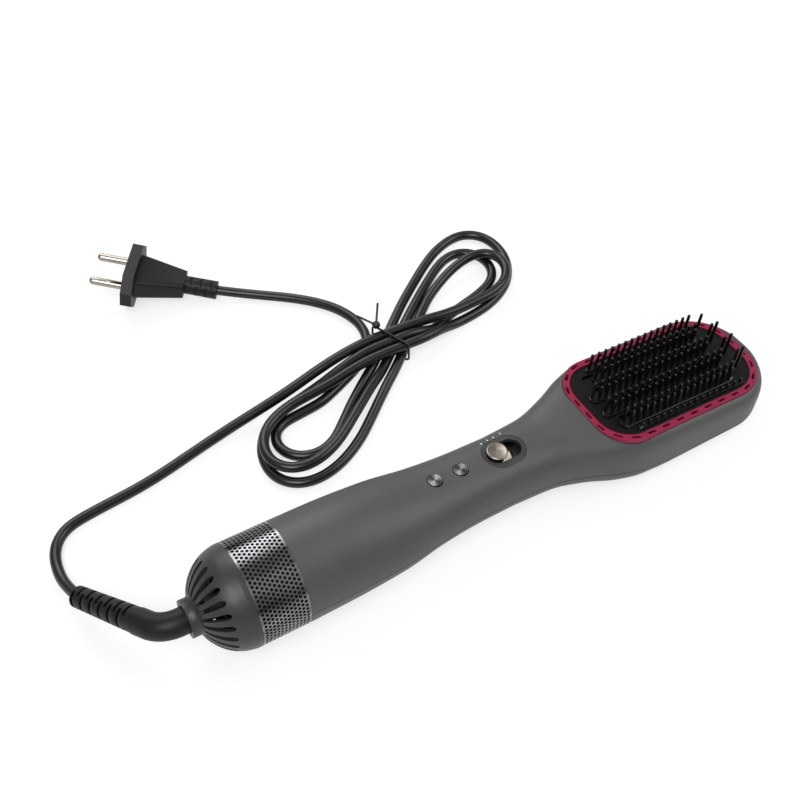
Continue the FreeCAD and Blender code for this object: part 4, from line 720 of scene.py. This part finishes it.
screen = bmesh.new()
for row in range(SCREEN_ROWS):
    tile = screen_tile(screen, SCREEN_RIM / 2 + row_step * (row + 0.75))
    tile += list({e for f in tile for e in f.edges}) + list({v for f in tile for v in f.verts})
    if row % 2:
        turn = Matrix.Rotation(math.pi / HOLES_AROUND, 3, "X")
        tile_points = [v for v in tile if isinstance(v, bmesh.types.BMVert)]
        bmesh.ops.rotate(screen, cent=(0, 0, 0), matrix=turn, verts=tile_points)
    bmesh.ops.spin(screen, geom=tile, cent=(0, 0, 0), axis=(1, 0, 0),
                   angle=2 * math.pi * (1 - 1 / HOLES_AROUND), steps=HOLES_AROUND - 1, use_duplicate=True)
bmesh.ops.remove_doubles(screen, verts=screen.verts, dist=SCREEN_WELD)
bmesh.ops.recalc_face_normals(screen, faces=screen.faces)
bmesh.ops.solidify(screen, geom=screen.faces[:], thickness=SCREEN_WALL)
rim_profile = ((0, -SCREEN_WALL), (0, RIM_PROUD), (SCREEN_RIM, RIM_PROUD), (SCREEN_RIM, -SCREEN_WALL))
for edge in (RIM_INSET, BODY_START - SCREEN_RIM - RIM_INSET):
    corners = [screen.verts.new((edge + x, 0, BARREL_RADIUS + z)) for x, z in rim_profile]
    sides = [screen.edges.new(pair) for pair in zip(corners, corners[1:] + corners[:1])]
    bmesh.ops.spin(screen, geom=corners + sides, cent=(0, 0, 0), axis=(1, 0, 0), angle=2 * math.pi,
                   steps=2 * HOLES_AROUND, use_merge=True)
bmesh.ops.recalc_face_normals(screen, faces=screen.faces)
bmesh.ops.transform(screen, matrix=LAY, verts=screen.verts)
make_piece(screen, "screen_sheet", gunmetal_and_painted_streaks, "brush", ("inlet_screen",), 40)

# %% [markdown]
# Behind the sheet lies a fine black gauze. It is a guess: the photo doesn't show it as a piece, but the
# holes are dark there, and such inlets have one.

# %% Gauze behind the screen
GAUZE_RADIUS = 23.35
GAUZE_WALL = 0.06
# The gauze: black and dull, so that the holes stay dark; its black is partly painted shade inside the
# barrel.
gauze_black_and_shade = moulded("polyester_inlet_gauze", "#060606", "#0a0a0a", 0.5, 0.04, 0.6, 0.7, 0.15)
gauze = bmesh.new()
bmesh.ops.create_cone(gauze, segments=96, radius1=GAUZE_RADIUS, radius2=GAUZE_RADIUS,
                      depth=BODY_START - SCREEN_RIM)
bmesh.ops.rotate(gauze, cent=(0, 0, 0), matrix=Matrix.Rotation(math.pi / 2, 3, "Y"), verts=gauze.verts)
bmesh.ops.translate(gauze, vec=(BODY_START / 2, 0, 0), verts=gauze.verts)
bmesh.ops.solidify(gauze, geom=gauze.faces[:], thickness=GAUZE_WALL)
bmesh.ops.recalc_face_normals(gauze, faces=gauze.faces)
bmesh.ops.transform(gauze, matrix=LAY, verts=gauze.verts)
make_piece(gauze, "screen_gauze", gauze_black_and_shade, "brush")

# %% [markdown]
# The cap, the ring, the plate and most small pieces keep their CAD shape, as welded copies; the ring, the
# bezel, the carriage, the relief and the plug get soft edges.

# %% Pieces that keep their CAD shape
welded_copy("rear_cap", cap_abs, "brush", 0.0, 40)
welded_copy("outlet_ring", raspberry_abs, "brush", 0.25)
welded_copy("bristle_plate", plate_nylon_and_shade, "brush")
welded_copy("slide_bezel", cap_abs, "brush", 0.2)
welded_copy("slide_carriage", chrome, "slide", 0.15)
relief = welded_copy("strain_relief", plug_pvc, "cord_swivel", 0.15)
plug = welded_copy("plug_body", plug_pvc, "cord_swivel", 0.5)
pins = welded_copy("plug_pins", nickel, "cord_swivel")
tie = welded_copy("cord_tie", tie_pvc, "cord_swivel")
for strip in sorted(n for n in nodes if n.startswith("strip_")) + ["tip_comb"]:
    welded_copy(strip, bristle_nylon, "brush")

# %% [markdown]
# The push buttons have spun metallic faces: a shallow dish with a rounded rim and fine rings, turned on a
# lathe. Spinning a profile makes them, and the rings are a bump that follows the distance from the button's
# own axis. The wedges of light and dark round that axis are painted highlight in the base colour. The
# slide's knob is turned the same way.

# %% Buttons and knob
# Painted highlight: pairs of light and dark wedges in the base colour round each turned face, and their
# start.
PAINTED_WEDGE_PAIRS = 2
PAINTED_WEDGE_START = 0.9
RING_STRENGTH = 0.25
RING_DEPTH_MM = 0.02
# The wave texture multiplies distances by this factor of its own.
WAVE_FACTOR = 20
TURN_STEPS = 64
TURN_WELD = 0.0005
BUTTON_PROFILE = (
    (0, -4.2), (4.7, -4.2), (4.7, -3.1), (3.42, -3.1), (3.42, 0.3),
    (3.33, 0.46), (3.17, 0.54), (3.02, 0.5), (2.97, 0.42), (0, 0.4),
)
KNOB_PROFILE = (
    (0, -3.05), (4.45, -3.05), (4.45, 1.0), (4.95, 1.1), (4.95, 1.85),
    (4.8, 2.1), (4.5, 2.2), (4.2, 2.12), (0, 2.08),
)
KNOB_SET_BACK = 4.0


def turned_face(name, dark, light, x, z, rings_mm, low_rough, anisotropy):
    """Turned metal: fine rings round an upright axis at X, and wedges of painted highlight round that axis.
    """
    material, tree, shader, place = start_material(name, {
        "Metallic": 1.0, "Roughness": low_rough, "Anisotropic": anisotropy})
    centre = LAY @ Vector((x, 0, z))
    moved = add(tree, "ShaderNodeMapping",
                {"vector_type": "TEXTURE", "Location": centre, "Rotation": (0, TILT, 0)}, {"Vector": place})
    around = add(tree, "ShaderNodeTexGradient", {"gradient_type": "RADIAL"},
                 {"Vector": moved.outputs["Vector"]})
    # Painted highlight: the base colour swings from dark to light and back round the axis.
    painted_wedge_angle = add(tree, "ShaderNodeMath",
                {"operation": "MULTIPLY_ADD", 1: 2 * PAINTED_WEDGE_PAIRS * math.pi, 2: PAINTED_WEDGE_START},
                {0: around.outputs["Fac"]})
    wave = add(tree, "ShaderNodeMath", {"operation": "SINE"}, {0: painted_wedge_angle.outputs[0]})
    share = add(tree, "ShaderNodeMapRange", {"From Min": -1.0}, {"Value": wave.outputs[0]})
    tone = add(tree, "ShaderNodeMix", {"data_type": "RGBA", 6: linear(dark), 7: linear(light)},
               {0: share.outputs["Result"]})
    tree.links.new(tone.outputs[2], shader.inputs["Base Color"])
    scale = 1 / (WAVE_FACTOR * rings_mm * MM)
    rings = add(tree, "ShaderNodeTexWave",
                {"wave_type": "RINGS", "rings_direction": "Z", "Scale": scale, "Distortion": 0.0},
                {"Vector": moved.outputs["Vector"]})
    bump = add(tree, "ShaderNodeBump", {"Strength": RING_STRENGTH, "Distance": RING_DEPTH_MM * MM},
               {"Height": rings.outputs["Fac"]})
    tree.links.new(bump.outputs["Normal"], shader.inputs["Normal"])
    tangent = add(tree, "ShaderNodeTangent", {"direction_type": "RADIAL", "axis": "Z"})
    tree.links.new(tangent.outputs["Tangent"], shader.inputs["Tangent"])
    return material


def turned(profile, x, z):
    """Spin a profile of radius and height round an upright axis in the tool frame."""
    bm = bmesh.new()
    points = [bm.verts.new((radius, 0, height)) for radius, height in profile]
    edges = [bm.edges.new(pair) for pair in zip(points, points[1:])]
    bmesh.ops.spin(bm, geom=points + edges, cent=(0, 0, 0), axis=(0, 0, 1), angle=2 * math.pi,
                   steps=TURN_STEPS, use_merge=True)
    bmesh.ops.remove_doubles(bm, verts=bm.verts, dist=TURN_WELD)
    bmesh.ops.recalc_face_normals(bm, faces=bm.faces)
    bmesh.ops.translate(bm, verts=bm.verts, vec=(x, 0, z))
    bmesh.ops.transform(bm, matrix=LAY, verts=bm.verts)
    return bm


def top_at(x):
    """Height of the case's top on the middle line."""
    return skin_point((x - BODY_START) / (TIP_CENTRE - BODY_START), math.pi / 2, 0).z


# The dark and light colours of each face are the ends of its painted highlight wedges.
for name, x in zip(("button_rear", "button_front"), BUTTON_XS):
    z = top_at(x)
    face = turned_face("aluminium_turned_" + name, "#414142", "#8e8e8f", x, z, 0.5, 0.28, 0.7)
    make_piece(turned(BUTTON_PROFILE, x, z), name + "_turned", face, name, (name,), 50)
knob_x = BEZEL_X - KNOB_SET_BACK
knob_z = top_at(BEZEL_X)
knob_face = turned_face("nickel_turned_knob", "#8c857b", "#a39b90", knob_x, knob_z, 0.6, 0.26, 0.4)
knob = turned(KNOB_PROFILE, knob_x, knob_z)
make_piece(knob, "slide_knob_turned", knob_face, "slide", ("slide_knob",), 50)

# %% [markdown]
# Four short pale bars are printed on the case beside the slide. Each is a flat bar that lies on the skin:
# the skin's angle is found where the bar stands, and the bar is set into it there, a hair proud.

# %% Printed marks
MARKS = ((129.6, 9.1), (133.4, 9.7), (136.9, 9.9), (141.2, 10.3))
MARK_SIZE = (0.5, 1.5, 0.06)
SLOPE_STEP = 0.01
# The marks: pale matt ink.
ink = moulded("ink_pale_grey", "#b9b9b9", "#c6c6c6", 0.5, 0.005, 0.5, 0.6)
marks = bmesh.new()
for mark_x, mark_y in MARKS:
    along = (mark_x - BODY_START) / (TIP_CENTRE - BODY_START)
    angles = [math.radians(a / 4) for a in range(60, 360)]
    angle = min(angles, key=lambda a: abs(skin_point(along, a, 0).y - mark_y))
    spot = skin_point(along, angle, 0)
    slope = skin_point(along, angle + SLOPE_STEP, 0) - skin_point(along, angle - SLOPE_STEP, 0)
    lean = Matrix.Rotation(math.atan2(-slope.z, -slope.y), 4, "X")
    bmesh.ops.create_cube(marks, size=1,
                          matrix=Matrix.Translation(spot) @ lean @ Matrix.Diagonal(MARK_SIZE + (1,)))
bmesh.ops.transform(marks, matrix=LAY, verts=marks.verts)
make_piece(marks, "printed_marks", ink, "brush")

# %% [markdown]
# What sits inside the case is hardly seen, only glimpsed through the slots and the screen. Those CAD nodes
# stay as they are and get the finish of what they are made of; the mouldings, the steel and the board are
# darkened as painted shade, so the slots and holes look deep.

# %% Inner pieces
inner = {
    inner_nylon_and_shade: ("screen_cage", "contact_block", "fan_mount", "duct_divider", "button_switches",
                 "slide_switch", "deck_frame", "fan", "thermostat", "heater_former"),
    steel: ("motor", "motor_shaft", "case_screws", "heater_coil", "heater_sleeve", "thermal_fuse"),
    brass: ("motor_bushes",),
    board_painted_shade: ("control_board",),
    wire_pvc: ("supply_leads",),
}
for material, names in inner.items():
    for name in names:
        for slot in nodes[name].material_slots:
            slot.material = material
print("inner pieces", sum(len(names) for names in inner.values()))

# %% [markdown]
# The relief, the tie, the plug and its pins are the pieces on it.

# %% [markdown]
# The photo was taken on white with soft light from all sides. A pale floor, a white world and three wide
# lamps do the same. The floor looks a little brighter to the camera than it is, which keeps the background
# white without more light on the brush.

# %% Floor, world and lamps
FLOOR_SIZE = 4
FLOOR_DROP = 0.0003
GLOW_SHARE = 0.7
WORLD_STRENGTH = 0.42
LAMP_TARGET = Vector((0, 0.06, 0))
LAMPS = (
    ("lamp_key", (-0.6, -0.5, 1.1), 0.7, 13.0),
    ("lamp_fill", (0.9, -0.3, 0.9), 0.8, 7.0),
    ("lamp_back", (0.1, 1.0, 0.9), 0.9, 9.0),
)
bm = bmesh.new()
bmesh.ops.create_grid(bm, x_segments=1, y_segments=1, size=FLOOR_SIZE)
floor_mesh = bpy.data.meshes.new("table_top")
bm.to_mesh(floor_mesh)
bm.free()
floor = bpy.data.objects.new("table_top", floor_mesh)
floor.location.z = -FLOOR_DROP
bpy.context.scene.collection.objects.link(floor)
floor_white = bpy.data.materials.new("table_white")
floor_white.use_nodes = True
tree = floor_white.node_tree
shader = tree.nodes["Principled BSDF"]
shader.inputs["Base Color"].default_value = (0.86, 0.86, 0.86, 1)
shader.inputs["Roughness"].default_value = 0.7
path = add(tree, "ShaderNodeLightPath")
glow = add(tree, "ShaderNodeEmission", {"Color": (1, 1, 1, 1), "Strength": 1.0})
shine = add(tree, "ShaderNodeMath", {"operation": "ADD"},
            {0: path.outputs["Is Glossy Ray"], 1: path.outputs["Is Transmission Ray"]})
seen = add(tree, "ShaderNodeMath", {"operation": "ADD", "use_clamp": True},
           {0: path.outputs["Is Camera Ray"], 1: shine.outputs[0]})
share = add(tree, "ShaderNodeMath", {"operation": "MULTIPLY", 1: GLOW_SHARE}, {0: seen.outputs[0]})
mixed = add(tree, "ShaderNodeMixShader", None,
            {0: share.outputs[0], 1: shader.outputs[0], 2: glow.outputs[0]})
tree.links.new(mixed.outputs[0], tree.nodes["Material Output"].inputs["Surface"])
floor_mesh.materials.append(floor_white)

world = bpy.data.worlds.new("white_studio")
world.use_nodes = True
world.node_tree.nodes["Background"].inputs["Color"].default_value = (1, 1, 1, 1)
world.node_tree.nodes["Background"].inputs["Strength"].default_value = WORLD_STRENGTH
bpy.context.scene.world = world
for name, place, size, power in LAMPS:
    lamp_data = bpy.data.lights.new(name, "AREA")
    lamp_data.size = size
    lamp_data.energy = power
    lamp = bpy.data.objects.new(name, lamp_data)
    lamp.location = place
    lamp.rotation_euler = (LAMP_TARGET - Vector(place)).to_track_quat("-Z", "Y").to_euler()
    bpy.context.scene.collection.objects.link(lamp)
bpy.context.scene.view_settings.view_transform = "Standard"
print("lamps", len(LAMPS))
